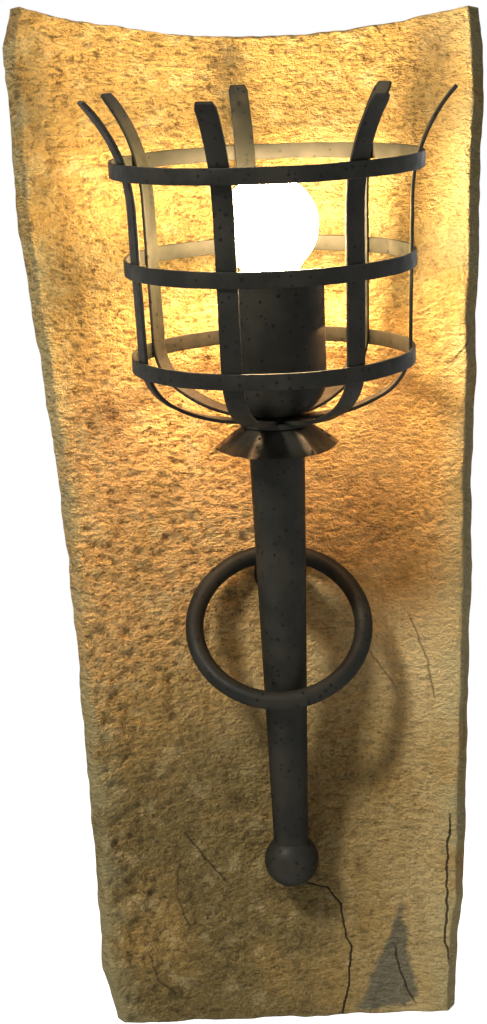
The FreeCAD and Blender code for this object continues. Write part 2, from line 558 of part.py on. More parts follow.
STRAPS = 7
for k in range(STRAPS):
    name = f"strap_{k + 1}"
    strap = doc.addObject("PartDesign::Body", name)
    bow = "bowl_bend_angle / 2"
    corner = "(90 - strap_taper + bowl_bend_angle) / 2"
    flare = "(strap_taper + flare_angle) / 2"
    path = outline(strap, name + "_path", "XZ_Plane", [
        ("strap_start_r", "strap_level"), ("strap_flat_r", "strap_level"), ("bowl_end_r", "bowl_end"),
        ("corner_end_r", "corner_end"), ("flare_start_r", "flare_start"), ("tip_out_r", "tip_level")],
        {1: ("bowl_bend_r", (f"strap_flat_r + bowl_bend_r * sin({bow})",
                             f"strap_level + bowl_bend_r * (1 - cos({bow}))")),
         2: ("corner_bend_r", (f"bowl_end_r + corner_bend_r * (sin({corner}) - sin(bowl_bend_angle))",
                               f"bowl_end + corner_bend_r * (cos(bowl_bend_angle) - cos({corner}))")),
         4: ("flare_bend_r", (f"flare_start_r + flare_bend_r * (cos(strap_taper) - cos({flare}))",
                              f"flare_start + flare_bend_r * (sin({flare}) - sin(strap_taper))"))},
        closed=False)
    bar_w, bar_t = "strap_width / 2", "strap_gauge / 2"
    section = outline(strap, name + "_section", "YZ_Plane", [
        (f"-{bar_w}", f"strap_level - {bar_t}"), (bar_w, f"strap_level - {bar_t}"),
        (bar_w, f"strap_level + {bar_t}"), (f"-{bar_w}", f"strap_level + {bar_t}")])
    section.setExpression("AttachmentOffset.Base.z", formula("strap_start_r"))
    bent = strap.newObject("PartDesign::AdditivePipe", name + "_bent")
    bent.Profile = section
    bent.Spine = path
    strap.Tip = bent
    doc.recompute()
    # the two corners of the tip are clipped
    tips = [f"Edge{i}" for i, e in enumerate(bent.Shape.Edges, 1)
            if abs(e.Length - value("strap_gauge")) < 1e-3
            and min(v.Point.z for v in e.Vertexes) > value("tip_level") - value("strap_gauge")]
    clip = strap.newObject("PartDesign::Chamfer", name + "_clipped")
    clip.Base = (bent, tips)
    bind(clip, Size="tip_clip")
    strap.Tip = clip
    place(strap, angle=f"strap_phase - 90 + {k} * 360 / {STRAPS}", torch=True)
    node(strap)

for where in ("low", "mid", "top"):
    base = f"hoop_{where}_top - hoop_height"
    node(cut(f"hoop_{where}",
             rod(f"hoop_{where}_outside", f"hoop_{where}_r + hoop_gauge", "hoop_height", z=base, torch=True),
             rod(f"hoop_{where}_inside", f"hoop_{where}_r", "hoop_height", z=base, torch=True)))

# ------------------------------------------------------- lamp cup and its stem
cup = doc.addObject("PartDesign::Body", "lamp_cup")
drum = bind(cup.newObject("PartDesign::AdditiveCylinder", "cup_drum"), Radius="cup_r", Height="cup_height")
doc.recompute()
foot = [f"Edge{i}" for i, e in enumerate(drum.Shape.Edges, 1)
        if isinstance(e.Curve, Part.Circle) and abs(e.Curve.Center.z) < 1e-6]
rounded = cup.newObject("PartDesign::Fillet", "cup_foot")
rounded.Base = (drum, foot)
bind(rounded, Radius="cup_corner_r")
doc.recompute()
mouth = [f"Face{i}" for i, f in enumerate(rounded.Shape.Faces, 1)
         if abs(f.CenterOfMass.z - value("cup_height")) < 1e-6]
drawn = cup.newObject("PartDesign::Thickness", "cup_wall")
drawn.Base = (rounded, mouth)
drawn.Reversed = True
bind(drawn, Value="cup_gauge")
cup.Tip = drawn
remove(cup, "Cylinder", "cup_hole", z="-1", Radius="tube_r", Height="cup_gauge + 2")
place(cup, z="cup_base", torch=True)
node(cup)

stem_base = "shaft_end - plug_depth"
node(cut("hub_tube",
         rod("hub_tube_bar", "tube_r", f"holder_base - ({stem_base})", z=stem_base, torch=True),
         rod("hub_tube_bore", "tube_bore_r", f"holder_base - ({stem_base})", z=stem_base, torch=True)))
node(cut("hub_washer",
         rod("hub_washer_disc", "hub_washer_r", "washer_gauge", z="cup_floor", torch=True),
         rod("hub_washer_hole", "tube_r", "washer_gauge", z="cup_floor", torch=True)))
node(cut("hub_nut",
         nut_prism("hub_nut_hex", "tube_nut_r", "nut_height", z="nut_base", torch=True),
         rod("hub_nut_hole", "tube_r", "nut_height", z="nut_base", torch=True)))

# ----------------------------------------------------------------- lampholder
node(cut("holder_plate",
         rod("holder_plate_disc", "holder_r", "base_gauge", z="plate_base", torch=True),
         rod("holder_plate_hole", "tube_r", "base_gauge", z="plate_base", torch=True)))
shell_out = "cap_r + cap_play + shell_gauge"
node(turned("holder_porcelain", [
    ("holder_r - holder_wall", "holder_base"), ("holder_r", "holder_base"),
    ("holder_r", "holder_top - holder_head - 4"), ("holder_head_r", "holder_top - holder_head"),
    ("holder_head_r", "holder_top"), (shell_out, "holder_top"), (shell_out, "shell_floor"),
    ("contact_rivet_r", "shell_floor"), ("contact_rivet_r", "holder_base + holder_terminal_depth"),
    ("holder_r - holder_wall", "holder_base + holder_terminal_depth")], torch=True))
node(turned("holder_shell", [
    ("cap_r + cap_play", "shell_floor"), (shell_out, "shell_floor"), (shell_out, "holder_top"),
    ("cap_r + cap_play", "holder_top")], torch=True))
node(turned("holder_contact", [
    ("0", "holder_base + holder_terminal_depth"), ("contact_rivet_r", "holder_base + holder_terminal_depth"),
    ("contact_rivet_r", "shell_floor"), ("contact_r", "shell_floor"), ("contact_r / 2", "shell_floor + contact_r / 3"),
    ("0", "shell_floor + contact_r / 3")], torch=True))

# ----------------------------------------------------------------------- lamp
share, glass = "globe_share", "glass_gauge"
touch_r = "globe_share * (lamp_neck_r + lamp_neck_bend_r)"
touch_z = "globe_level - globe_share * (globe_level - neck_level)"
inner_share = "(globe_r - glass_gauge) / globe_r"
in_r = f"{inner_share} * {touch_r}"
in_z = f"globe_level - {inner_share} * globe_share * (globe_level - neck_level)"
bend_mid = "asin((globe_level - neck_level) / (globe_r + lamp_neck_bend_r)) / 2"
node(turned("lamp_globe", [
    ("0", "globe_level + globe_r - glass_gauge"), ("0", "globe_level + globe_r"), (touch_r, touch_z),
    ("lamp_neck_r", "neck_level"), ("lamp_neck_r", "cap_top"), ("lamp_neck_r - glass_gauge", "cap_top"),
    ("lamp_neck_r - glass_gauge", "neck_level"), (in_r, in_z)],
    {1: ("globe_r", ("globe_r * cos(20)", "globe_level + globe_r * sin(20)")),
     2: ("lamp_neck_bend_r", (f"lamp_neck_r + lamp_neck_bend_r * (1 - cos({bend_mid}))",
                              f"neck_level + lamp_neck_bend_r * sin({bend_mid})")),
     6: ("lamp_neck_bend_r + glass_gauge",
         (f"lamp_neck_r + lamp_neck_bend_r - (lamp_neck_bend_r + glass_gauge) * cos({bend_mid})",
          f"neck_level + (lamp_neck_bend_r + glass_gauge) * sin({bend_mid})")),
     7: ("globe_r - glass_gauge", ("(globe_r - glass_gauge) * cos(20)",
                                   "globe_level + (globe_r - glass_gauge) * sin(20)"))}, torch=True))
node(turned("lamp_cap", [
    ("cap_r - 0.6", "cap_base"), ("cap_r", "cap_base"), ("cap_r", "cap_top - 3"), ("lamp_neck_r", "cap_top"),
    ("cap_r - 0.6", "cap_top")], torch=True))
node(turned("lamp_insulator", [
    ("0", "lamp_tip + tip_height"), ("insulator_r", "lamp_tip + tip_height"), ("cap_r - 0.6", "cap_base"),
    ("cap_r - 0.6", "cap_base + 1.5"), ("0", "cap_base + 1.5")], torch=True))
node(turned("lamp_contact", [
    ("0", "lamp_tip"), ("tip_r / 2", "lamp_tip"), ("tip_r", "lamp_tip + tip_height"),
    ("0", "lamp_tip + tip_height")], torch=True))

# --------------------------------------------------------------- hanging ring
ring = bind(doc.addObject("Part::Torus", "hanging_ring"), Radius1="hoop_ring_r", Radius2="ring_bar_r")
place(ring, x="-ring_shift", y="-pivot_out - hoop_ring_r * sin(ring_tilt)",
      z="pivot_z - hoop_ring_r * cos(ring_tilt)", axis=(1, 0, 0), angle="90 - ring_tilt")
node(ring)

# -------------------------------------------------------------- build and save
doc.recompute()
for obj in doc.Objects:
    if {"Invalid", "Error"} & set(obj.State):
        raise RuntimeError(f"{obj.Name} failed: {obj.State}")
for obj in NODES:
    if obj.Shape.isNull() or not obj.Shape.isValid() or not obj.Shape.Solids:
        raise RuntimeError(f"{obj.Label} has no valid solid")

os.makedirs("parts", exist_ok=True)
for obj in NODES:
    obj.Shape.exportStep(f"parts/{obj.Label}.step")
print(len(NODES), "pieces; ring tilt %.2f" % layout.ring_tilt,
      "ring pivot out %.2f up %.2f" % (layout.pivot_out, layout.pivot_z))
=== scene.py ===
"""Dresses the torch sconce: forged iron torch and basket, worn clay back slab, lit lamp."""
import math
from types import SimpleNamespace

import bpy
from mathutils import Matrix, Vector, noise


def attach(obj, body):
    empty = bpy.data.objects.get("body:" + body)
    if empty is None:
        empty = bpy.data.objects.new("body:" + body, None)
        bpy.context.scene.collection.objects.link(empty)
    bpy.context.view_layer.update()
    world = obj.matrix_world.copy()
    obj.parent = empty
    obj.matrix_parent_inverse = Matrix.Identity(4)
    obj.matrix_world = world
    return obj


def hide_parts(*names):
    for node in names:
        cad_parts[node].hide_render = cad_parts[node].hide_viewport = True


bl_info = {
    "name": "Torch Sconce",
    "version": (1, 0, 0),
    "blender": (4, 5, 0),
    "location": "View3D > Sidebar > Torch Sconce",
    "description": "Builds the pieces, finishes, light and camera of a wrought-iron torch sconce",
    "category": "Object",
}

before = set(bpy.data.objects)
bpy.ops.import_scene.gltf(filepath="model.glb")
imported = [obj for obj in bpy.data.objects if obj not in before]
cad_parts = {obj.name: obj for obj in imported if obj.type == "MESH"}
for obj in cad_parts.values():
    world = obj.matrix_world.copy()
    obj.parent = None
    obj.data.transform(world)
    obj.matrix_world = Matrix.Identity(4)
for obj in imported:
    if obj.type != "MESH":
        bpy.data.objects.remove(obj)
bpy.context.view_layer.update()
MM = 0.001
MIXED = 2  # number of a Mix node's colour output


# ---- settings
def srgb(text):
    """sRGB hex to a linear colour with alpha."""
    channels = [int(text[i:i + 2], 16) / 255 for i in (0, 2, 4)]
    return [c / 12.92 if c <= 0.04045 else ((c + 0.055) / 1.055) ** 2.4 for c in channels] + [1.0]


def length(name, millimetres, description):
    """A length property, stored in metres."""
    return bpy.props.FloatProperty(
        name=name, default=millimetres * MM, subtype="DISTANCE", precision=4, description=description)


def colour(name, text, description):
    """A colour property, from its sRGB hex value."""
    return bpy.props.FloatVectorProperty(
        name=name, default=srgb(text), size=4, min=0, max=1, subtype="COLOR", description=description)


def power(name, watts, description):
    """A lamp's power."""
    return bpy.props.FloatProperty(
        name=name, default=watts, min=0, unit="POWER", description=description)


def angle(name, degrees, description):
    """An angle property, from degrees."""
    return bpy.props.FloatProperty(
        name=name, default=math.radians(degrees), subtype="ANGLE", description=description)


class SlabSettings(bpy.types.PropertyGroup):
    """The clay back slab."""
    gauge: length("Gauge", 18, "Thickness of the slab")
    curve_radius: length("Curve radius", 240, "Radius of the hollow front")
    offset: length("Offset", -8, "Trough axis, to the right of the torch")
    back: length("Back", 11.8, "Wall to the back of the slab at mid-width")
    flat: length("Flat", 14, "Wall to the flat that seats the bracket")
    top: length("Top", 454, "Top edge above the origin, at mid-width")
    top_slant: length("Top slant", 10, "Left end of the top edge above its right end")
    top_dip: length("Top dip", 9, "Sag of the top edge at mid-width")
    bottom: length("Bottom", 197, "Bottom edge below the origin, at its ends")
    bottom_bow: length("Bottom bow", 8, "Bow of the bottom edge at mid-width")
    worn: length("Worn edge", 2.6, "Rounding of the edges")
    lumps: length("Lumps", 1.8, "Height of the hand-thrown lumps")
    pits: length("Pits", 3.4, "Depth of the pits in the coarse half")
    sand: colour("Sand", "b99a5b", "Fired sandy clay")
    # painted lamp light: the paler, warmer clay laid on the middle of the slab stands in for the lamp's
    # light falling there
    painted_lamp_light: colour("Warm sand", "dcb474", "Paler clay at mid-height")
    # deep: dark clay in the lumps and drag marks, and painted shade where the pits and sand layers lay it in
    # the bump's hollows
    deep: colour("Deep", "43341c", "Clay in the pits")
    # pale: smoothed clay and pale lumps, and on the bump's high grit a painted highlight, partly worn ridges
    pale: colour("Pale", "d3c08c", "Smoothed, dusty clay")
    # painted shade, partly the clay's own browner tone: the darker earth low on the left stands in for the
    # lamp's light falling off there
    earth_and_low_shade: colour("Earth", "7d6e42", "Browner clay near the foot")
    moss: colour("Weathering", "b0a87c", "Grey-green weathering on the rim")
    slate: colour("Reduced clay", "757a6e", "Grey-blue patch near the foot")


class IronSettings(bpy.types.PropertyGroup):
    """The forged iron."""
    paint: colour("Paint", "131410", "Anthracite paint")
    worn_paint: colour("Rubbed paint", "24231d", "Paint where it is rubbed")
    # painted highlight, partly rubbed bare iron: the brown-cream along the collar's folds stands in for
    # light catching their ridges
    fold_highlight: colour("Bare iron", "8f7a5c", "Brown iron along the rubbed folds of the collar")
    speck: colour("Speck", "040404", "Black specks")
    speck_pitch: length("Speck pitch", 3.6, "Average distance between specks")
    strap_count: bpy.props.IntProperty(
        name="Straps", default=7, min=3, description="Straps round the basket")
    strap_phase: angle("First strap", -18, "First strap from the front")
    strap_width: length("Strap width", 12.5, "Width of a strap")
    strap_gauge: length("Strap gauge", 2.2, "Thickness of a strap")
    hoop_height: length("Hoop height", 9.7, "Height of a hoop")
    hoop_gauge: length("Hoop gauge", 2, "Thickness of a hoop")
    lean: angle("Lean", 14, "Forward lean of the torch")
    ball_out: length("Ball out", 49.8, "Wall to the centre of the ball")
    ball_down: length("Ball down", 94, "Centre of the ball below the origin")


class LampSettings(bpy.types.PropertyGroup):
    """The lamp and its holder."""
    glow: colour("Glow", "ffd088", "Warm white light of the lamp")
    glow_strength: bpy.props.FloatProperty(
        name="Glow strength", default=280, min=0,
        description="Brightness of the globe against a white sheet")
    cap_radius: length("Cap radius", 13.2, "Outside of the screw cap")
    thread_pitch: length("Thread pitch", 3.6, "Pitch of the rolled thread")


class StageSettings(bpy.types.PropertyGroup):
    """Camera, floor and light."""
    camera_at: bpy.props.FloatVectorProperty(
        name="Camera", default=(-0.02242, -1.32743, 0.14643), subtype="TRANSLATION",
        description="Where the camera stands")
    pitch: angle("Pitch", -0.487, "Camera tilt, up is positive")
    roll: angle("Roll", -2.331, "Camera turned about its sight line")
    focal_px: bpy.props.FloatProperty(
        name="Focal length", default=1943.81, subtype="PIXEL",
        description="Focal length in pixels of a picture 1024 pixels high")
    floor_down: length("Floor", 420, "Floor below the origin")
    key_watts: power("Key", 40, "Power of the soft key light")
    glow_watts: power("Glow", 1, "Power of what the globe throws down the slab")
    fill: bpy.props.FloatProperty(
        name="Fill", default=0.1, min=0, description="Brightness of the white surroundings")
    white: colour("Floor", "f4f4f2", "Pale floor")


def in_mm(settings):
    """A group's lengths in millimetres, with its other values as they are."""
    values = {}
    for prop in settings.bl_rna.properties:
        if not prop.is_readonly:
            value = getattr(settings, prop.identifier)
            values[prop.identifier] = value / MM if prop.subtype == "DISTANCE" else value
    return SimpleNamespace(**values)


# ---- small helpers
def add(tree, kind, inputs=None, **settings):
    """Add a node; inputs maps a socket's name or number to a value, a node or a node's output."""
    made = tree.nodes.new(kind)
    for key, item in settings.items():
        setattr(made, key, item)
    for key, item in (inputs or {}).items():
        socket = made.inputs[key] if isinstance(key, int) else next(
            s for s in made.inputs if s.enabled and s.name == key)
        if isinstance(item, bpy.types.Node):
            item = next(s for s in item.outputs if s.enabled)
        if isinstance(item, bpy.types.NodeSocket):
            tree.links.new(item, socket)
        else:
            socket.default_value = item
    return made


def empty_tree(owner):
    """The node tree of a material or world, emptied."""
    owner.use_nodes = True
    owner.node_tree.nodes.clear()
    return owner.node_tree


def blank_material(name):
    """A material with a Principled surface: (material, tree, shader, Object coordinates)."""
    mat = bpy.data.materials.new(name)
    tree = empty_tree(mat)
    shader = add(tree, "ShaderNodeBsdfPrincipled")
    add(tree, "ShaderNodeOutputMaterial", {"Surface": shader})
    return mat, tree, shader, add(tree, "ShaderNodeTexCoord").outputs["Object"]


def clouded(name, size, detail, dark, light, gloss=None, **sockets):
    """A material that drifts between two colours in clouds of this size in millimetres. gloss gives
    the limits of a roughness that follows them; sockets are set on the shader itself."""
    mat, tree, shader, where = blank_material(name)
    cloud = add(tree, "ShaderNodeTexNoise", {"Vector": where, "Scale": per_metre(size), "Detail": detail})
    tone = add(tree, "ShaderNodeMix", {"Factor": cloud, "A": srgb(dark), "B": srgb(light)},
               data_type="RGBA")
    tree.links.new(tone.outputs[MIXED], shader.inputs["Base Color"])
    if gloss:
        spread = add(tree, "ShaderNodeMapRange", {
            "Value": cloud, "From Min": 0.3, "From Max": 0.7, "To Min": gloss[0], "To Max": gloss[1]})
        tree.links.new(spread.outputs[0], shader.inputs["Roughness"])
    for socket, value in sockets.items():
        shader.inputs[socket].default_value = value
    return mat, tree, shader, where


def clamp(value, low=0.0):
    """A value held between low and 1."""
    return max(low, min(1.0, value))


def per_metre(millimetres):
    """Texture scale at which one cell or wave is this long."""
    return 1000 / millimetres


def mesh_object(name, points, faces, material=None, smooth=True):
    """A new mesh object at the origin."""
    data = bpy.data.meshes.new(name)
    data.from_pydata([tuple(p) for p in points], [], faces)
    data.validate()
    if smooth:
        data.polygons.foreach_set("use_smooth", [True] * len(data.polygons))
    obj = bpy.data.objects.new(name, data)
    bpy.context.scene.collection.objects.link(obj)
    if material:
        data.materials.append(material)
    return obj


def finish(name, material):
    """Give a carried-over CAD node its finish."""
    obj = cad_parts[name]
    obj.data.materials.clear()
    obj.data.materials.append(material)


def torch_matrix():
    """From the torch's own axis, with its zero at the centre of the ball, to the wall frame."""
    iron = bpy.context.scene.torch_iron
    return (Matrix.Translation((0, -iron.ball_out, -iron.ball_down))
            @ Matrix.Rotation(iron.lean, 4, "X"))


def band(a, b, count, flip=False):
    """Faces between two closed rings of vertices that start at a and at b, the other way out if asked."""
    faces = []
    for k in range(count):
        j = (k + 1) % count
        faces.append((a + k, b + k, b + j, a + j) if flip else (a + k, a + j, b + j, b + k))
    return faces


def rounded_bar(width, gauge, corner):
    """Outline of a flat bar with eased corners, across by through."""
    outline = []
    for cx, cy, start in ((1, 1, 0), (-1, 1, 90), (-1, -1, 180), (1, -1, 270)):
        for turn in (0, 30, 60, 90):
            a = math.radians(start + turn)
            outline.append((cx * (width / 2 - corner) + corner * math.cos(a),
                            cy * (gauge / 2 - corner) + corner * math.sin(a)))
    return outline


# ---- finishes
def anthracite_paint():
    """Anthracite paint over forged iron, sprayed on and flecked with black. Gives the eye a
    matt dark grey with 1-2 mm black specks, a soft broken highlight and, along the collar's folds, a
    brown-cream painted highlight, partly rubbed bare iron."""
    if "anthracite_paint" in bpy.data.materials:
        return bpy.data.materials["anthracite_paint"]
    iron = in_mm(bpy.context.scene.torch_iron)
    mat, tree, shader, where = blank_material("anthracite_paint")
    noise_of = {}
    for size, detail in ((28, 4), (12, 1), (9, 3), (6, 3), (1.5, 2)):
        noise_of[size] = add(tree, "ShaderNodeTexNoise", {
            "Vector": where, "Scale": per_metre(size), "Detail": detail, "Roughness": 0.55})
    rubbed = add(tree, "ShaderNodeMapRange", {"Value": noise_of[28], "From Min": 0.35, "From Max": 0.7},
                 interpolation_type="SMOOTHSTEP")
    body = add(tree, "ShaderNodeMix", {"Factor": rubbed, "A": iron.paint, "B": iron.worn_paint},
               data_type="RGBA")
    # painted highlight, partly rubbed bare iron: brown-cream along the folds that carry the attribute
    fold = add(tree, "ShaderNodeAttribute", attribute_name="fold")
    patchy_fold_highlight = add(tree, "ShaderNodeMapRange", {
        "Value": noise_of[6], "From Min": 0.3, "From Max": 0.6, "To Max": fold.outputs["Fac"]})
    body = add(tree, "ShaderNodeMix", {"Factor": patchy_fold_highlight, "A": body, "B": iron.fold_highlight}, data_type="RGBA")
    # specks: one in each cell, from nothing to 2 mm, with ragged edges
    cells = add(tree, "ShaderNodeTexVoronoi", {"Vector": where, "Scale": per_metre(iron.speck_pitch)})
    ragged = add(tree, "ShaderNodeMath", {0: noise_of[1.5], 1: 0.3, 2: cells.outputs["Distance"]},
                 operation="MULTIPLY_ADD")
    share = add(tree, "ShaderNodeSeparateColor", {"Color": cells.outputs["Color"]})
    size = add(tree, "ShaderNodeMath", {0: share.outputs["Red"], 1: 0.52}, operation="MULTIPLY")
    speck = add(tree, "ShaderNodeMath", {0: ragged, 1: size}, operation="LESS_THAN")
    body = add(tree, "ShaderNodeMix", {"Factor": speck, "A": body, "B": iron.speck}, data_type="RGBA")
    tree.links.new(body.outputs[MIXED], shader.inputs["Base Color"])
    matt = add(tree, "ShaderNodeMapRange", {
        "Value": noise_of[9], "From Min": 0.3, "From Max": 0.7, "To Min": 0.46, "To Max": 0.62})
    tree.links.new(matt.outputs[0], shader.inputs["Roughness"])
    shader.inputs["Specular IOR Level"].default_value = 0.12
    # orange peel of 1.5 mm over hammer marks of 12 mm, with each speck a shallow pock
    skin = add(tree, "ShaderNodeMath", {0: noise_of[1.5], 1: 0.35, 2: noise_of[12]},
               operation="MULTIPLY_ADD")
    skin = add(tree, "ShaderNodeMath", {0: speck, 1: -0.25, 2: skin}, operation="MULTIPLY_ADD")
    bump = add(tree, "ShaderNodeBump", {"Strength": 0.5, "Distance": 0.0004, "Height": skin})
    tree.links.new(bump.outputs[0], shader.inputs["Normal"])
    return mat


def zinc_plate():
    """Zinc-plated steel, pressed and plated. Gives the eye a cool grey metal with a spangle of 3 mm."""
    mat, tree, shader, where = blank_material("zinc_plate")
    spangle = add(tree, "ShaderNodeTexVoronoi", {"Vector": where, "Scale": per_metre(3)})
    tone = add(tree, "ShaderNodeMix", {"Factor": spangle, "A": srgb("a9abad"), "B": srgb("bfc1c2")},
               data_type="RGBA")
    tree.links.new(tone.outputs[MIXED], shader.inputs["Base Color"])
    shader.inputs["Metallic"].default_value = 1.0
    cloud = add(tree, "ShaderNodeTexNoise", {"Vector": where, "Scale": per_metre(6), "Detail": 3.0})
    gloss = add(tree, "ShaderNodeMapRange", {
        "Value": cloud, "From Min": 0.3, "From Max": 0.7, "To Min": 0.32, "To Max": 0.48})
    tree.links.new(gloss.outputs[0], shader.inputs["Roughness"])
    return mat


def glazed_porcelain():
    """Glazed electrical porcelain. Gives the eye a warm white with a sharp, slightly wavy gloss."""
    mat, tree, shader, where = clouded(
        "glazed_porcelain", 15, 3, "e9e4d8", "f1eee6", Roughness=0.12, IOR=1.5)
    wave = add(tree, "ShaderNodeTexNoise", {"Vector": where, "Scale": per_metre(7), "Detail": 2.0})
    bump = add(tree, "ShaderNodeBump", {"Strength": 0.2, "Distance": 0.0003, "Height": wave})
    tree.links.new(bump.outputs[0], shader.inputs["Normal"])
    return mat


def pressed_brass():
    """Pressed brass strip. Gives the eye a dull yellow metal with darker stains of 5 mm."""
    return clouded("pressed_brass", 5, 3, "b08d4c", "c9a65f", gloss=(0.25, 0.4), Metallic=1.0)[0]


def rolled_aluminium():
    """Thin aluminium, rolled into a screw thread. Gives the eye a bright, softly brushed metal."""
    return clouded("rolled_aluminium", 1, 3, "c6c7c8", "dcdddd", gloss=(0.22, 0.36), Metallic=1.0)[0]


def black_glass():
    """Poured black glass. Gives the eye a deep black gloss with flow lines of 4 mm."""
    return clouded("black_glass", 4, 2, "0c0b0d", "1a181c", Roughness=0.08, IOR=1.52)[0]


def lead_free_solder():
    """A blob of solder. Gives the eye a dull silver with a frosted skin."""
    return clouded("lead_free_solder", 1, 2, "9c9c9b", "b9b9b8", Metallic=1.0, Roughness=0.42)[0]


def lit_opal_glass():
    """Opal lamp glass, blown and lit from inside. Gives the eye an even white glow, warmer in soft
    clouds of 20 mm."""
    lamp = bpy.context.scene.torch_lamp
    mat, tree, shader, where = blank_material("lit_opal_glass")
    shader.inputs["Base Color"].default_value = srgb("f6f1e6")
    shader.inputs["Roughness"].default_value = 0.25
    shader.inputs["IOR"].default_value = 1.5
    cloud = add(tree, "ShaderNodeTexNoise", {"Vector": where, "Scale": per_metre(20), "Detail": 3.0})
    tint = add(tree, "ShaderNodeMix", {"Factor": cloud, "A": lamp.glow, "B": srgb("ffe2b4")},
               data_type="RGBA")
    tree.links.new(tint.outputs[MIXED], shader.inputs["Emission Color"])
    shader.inputs["Emission Strength"].default_value = lamp.glow_strength
    return mat


def fired_clay():
    """Coarse sandy clay, thrown by hand and fired. Gives the eye a dry ochre ground with pits of
    2-5 mm darkened by painted shade in their hollows, pale ridges that are partly worn and partly a painted
    highlight, hairline cracks and grey-green weathering along the rim, with painted lamp light at mid-height
    and painted shade low on the left."""
    slab = bpy.context.scene.torch_slab
    mat, tree, shader, where = blank_material("fired_clay")
    mark = {name: add(tree, "ShaderNodeAttribute", attribute_name=name).outputs["Fac"]
            for name in CLAY_MARKS}
    # pits are stretched a little across the slab, drag marks far up and down it
    wide = add(tree, "ShaderNodeMapping", {"Vector": where, "Scale": (0.7, 0.7, 1.2)})
    tall = add(tree, "ShaderNodeMapping", {"Vector": where, "Scale": (1, 1, 0.12)})
    noise_of = {}
    for name, at, size, detail, roughness in (
            ("cloud", where, 70, 4, 0.55), ("weather", where, 35, 4, 0.55), ("lumps", where, 16, 4, 0.6),
            ("drag", tall, 14, 4, 0.55), ("pits", wide, 4.6, 4, 0.62), ("ragged", where, 4, 3, 0.55),
            ("sand", where, 1.7, 3, 0.7)):
        noise_of[name] = add(tree, "ShaderNodeTexNoise", {
            "Vector": at, "Scale": per_metre(size), "Detail": detail, "Roughness": roughness})
    # layers, each laid over the last: noise, its two limits, where it is, how strong, colour. The pits and
    # sand layers follow the bump below: deep in their hollows is painted shade, and pale on the high grit is
    # a painted highlight, partly worn ridges
    body = slab.sand
    for name, low, high, place, strength, tone in (
            # painted lamp light on the middle of the slab
            ("cloud", 0.25, 0.55, "painted_lamp_light", 0.95, slab.painted_lamp_light),
            ("cloud", 0.3, 0.62, "smooth", 0.95, slab.pale),
            # painted shade, partly browner clay, low on the left
            ("cloud", 0.2, 0.5, "foot", 0.9, slab.earth_and_low_shade),
            # painted shade in the low pits, where the bump is hollow
            ("pits", 0.5, 0.34, "coarse", 0.65, slab.deep),
            ("lumps", 0.46, 0.28, "coarse", 0.5, slab.deep),
            ("lumps", 0.52, 0.68, "coarse", 0.5, slab.pale),
            # painted highlight, partly worn ridges, on the high grit, and painted shade in its hollows
            ("sand", 0.54, 0.72, "coarse", 0.5, slab.pale),
            ("sand", 0.46, 0.3, "coarse", 0.7, slab.deep),
            ("sand", 0.54, 0.72, "smooth", 0.3, srgb("d8c79a")),
            ("sand", 0.45, 0.3, "smooth", 0.3, slab.deep),
            ("drag", 0.52, 0.7, "smooth", 0.3, slab.deep),
            ("weather", 0.36, 0.56, "rim", 0.6, slab.moss)):
        shown = add(tree, "ShaderNodeMapRange", {
            "Value": noise_of[name], "From Min": low, "From Max": high, "To Max": strength},
            interpolation_type="SMOOTHSTEP")
        here = add(tree, "ShaderNodeMath", {0: shown, 1: mark[place]}, operation="MULTIPLY")
        body = add(tree, "ShaderNodeMix", {"Factor": here, "A": body, "B": tone}, data_type="RGBA")
    # the reduced patch has a ragged edge
    edge = add(tree, "ShaderNodeMath", {0: noise_of["lumps"], 1: 1.2, 2: mark["patch"]},
               operation="MULTIPLY_ADD")
    shown = add(tree, "ShaderNodeMapRange", {
        "Value": edge, "From Min": 1.02, "From Max": 1.3, "To Max": 0.8})
    reduced = add(tree, "ShaderNodeMix", {"Factor": noise_of["pits"], "A": srgb("3c4038"), "B": slab.slate},
                  data_type="RGBA")
    body = add(tree, "ShaderNodeMix", {"Factor": shown, "A": body, "B": reduced}, data_type="RGBA")
    # cracks: a ragged line 1.4 mm wide where the signed distance, in units of 10 mm, passes zero
    off = add(tree, "ShaderNodeMath", {0: noise_of["ragged"], 1: 0.16, 2: mark["crack_side"]},
              operation="MULTIPLY_ADD")
    off = add(tree, "ShaderNodeMath", {0: off, 1: 0.08, 2: 0.07}, operation="COMPARE")
    line = add(tree, "ShaderNodeMath", {0: off, 1: mark["crack_tone"]}, operation="MULTIPLY")
    body = add(tree, "ShaderNodeMix", {"Factor": line, "A": body, "B": srgb("2c2213")}, data_type="RGBA")
    tree.links.new(body.outputs[MIXED], shader.inputs["Base Color"])
    shader.inputs["Roughness"].default_value = 0.92
    shader.inputs["Specular IOR Level"].default_value = 0.2
    # relief: pits as deep as the clay is coarse, then grit, then the cracks
    deep = add(tree, "ShaderNodeMath", {0: mark["coarse"], 1: 2.0, 2: 0.8}, operation="MULTIPLY_ADD")
    relief = add(tree, "ShaderNodeMath", {0: noise_of["pits"], 1: deep}, operation="MULTIPLY")
    relief = add(tree, "ShaderNodeMath", {0: noise_of["sand"], 1: 0.5, 2: relief},
                 operation="MULTIPLY_ADD")
    relief = add(tree, "ShaderNodeMath", {0: relief, 1: line}, operation="SUBTRACT")
    bump = add(tree, "ShaderNodeBump", {"Strength": 1.0, "Distance": 0.014, "Height": relief})
    tree.links.new(bump.outputs[0], shader.inputs["Normal"])
    return mat


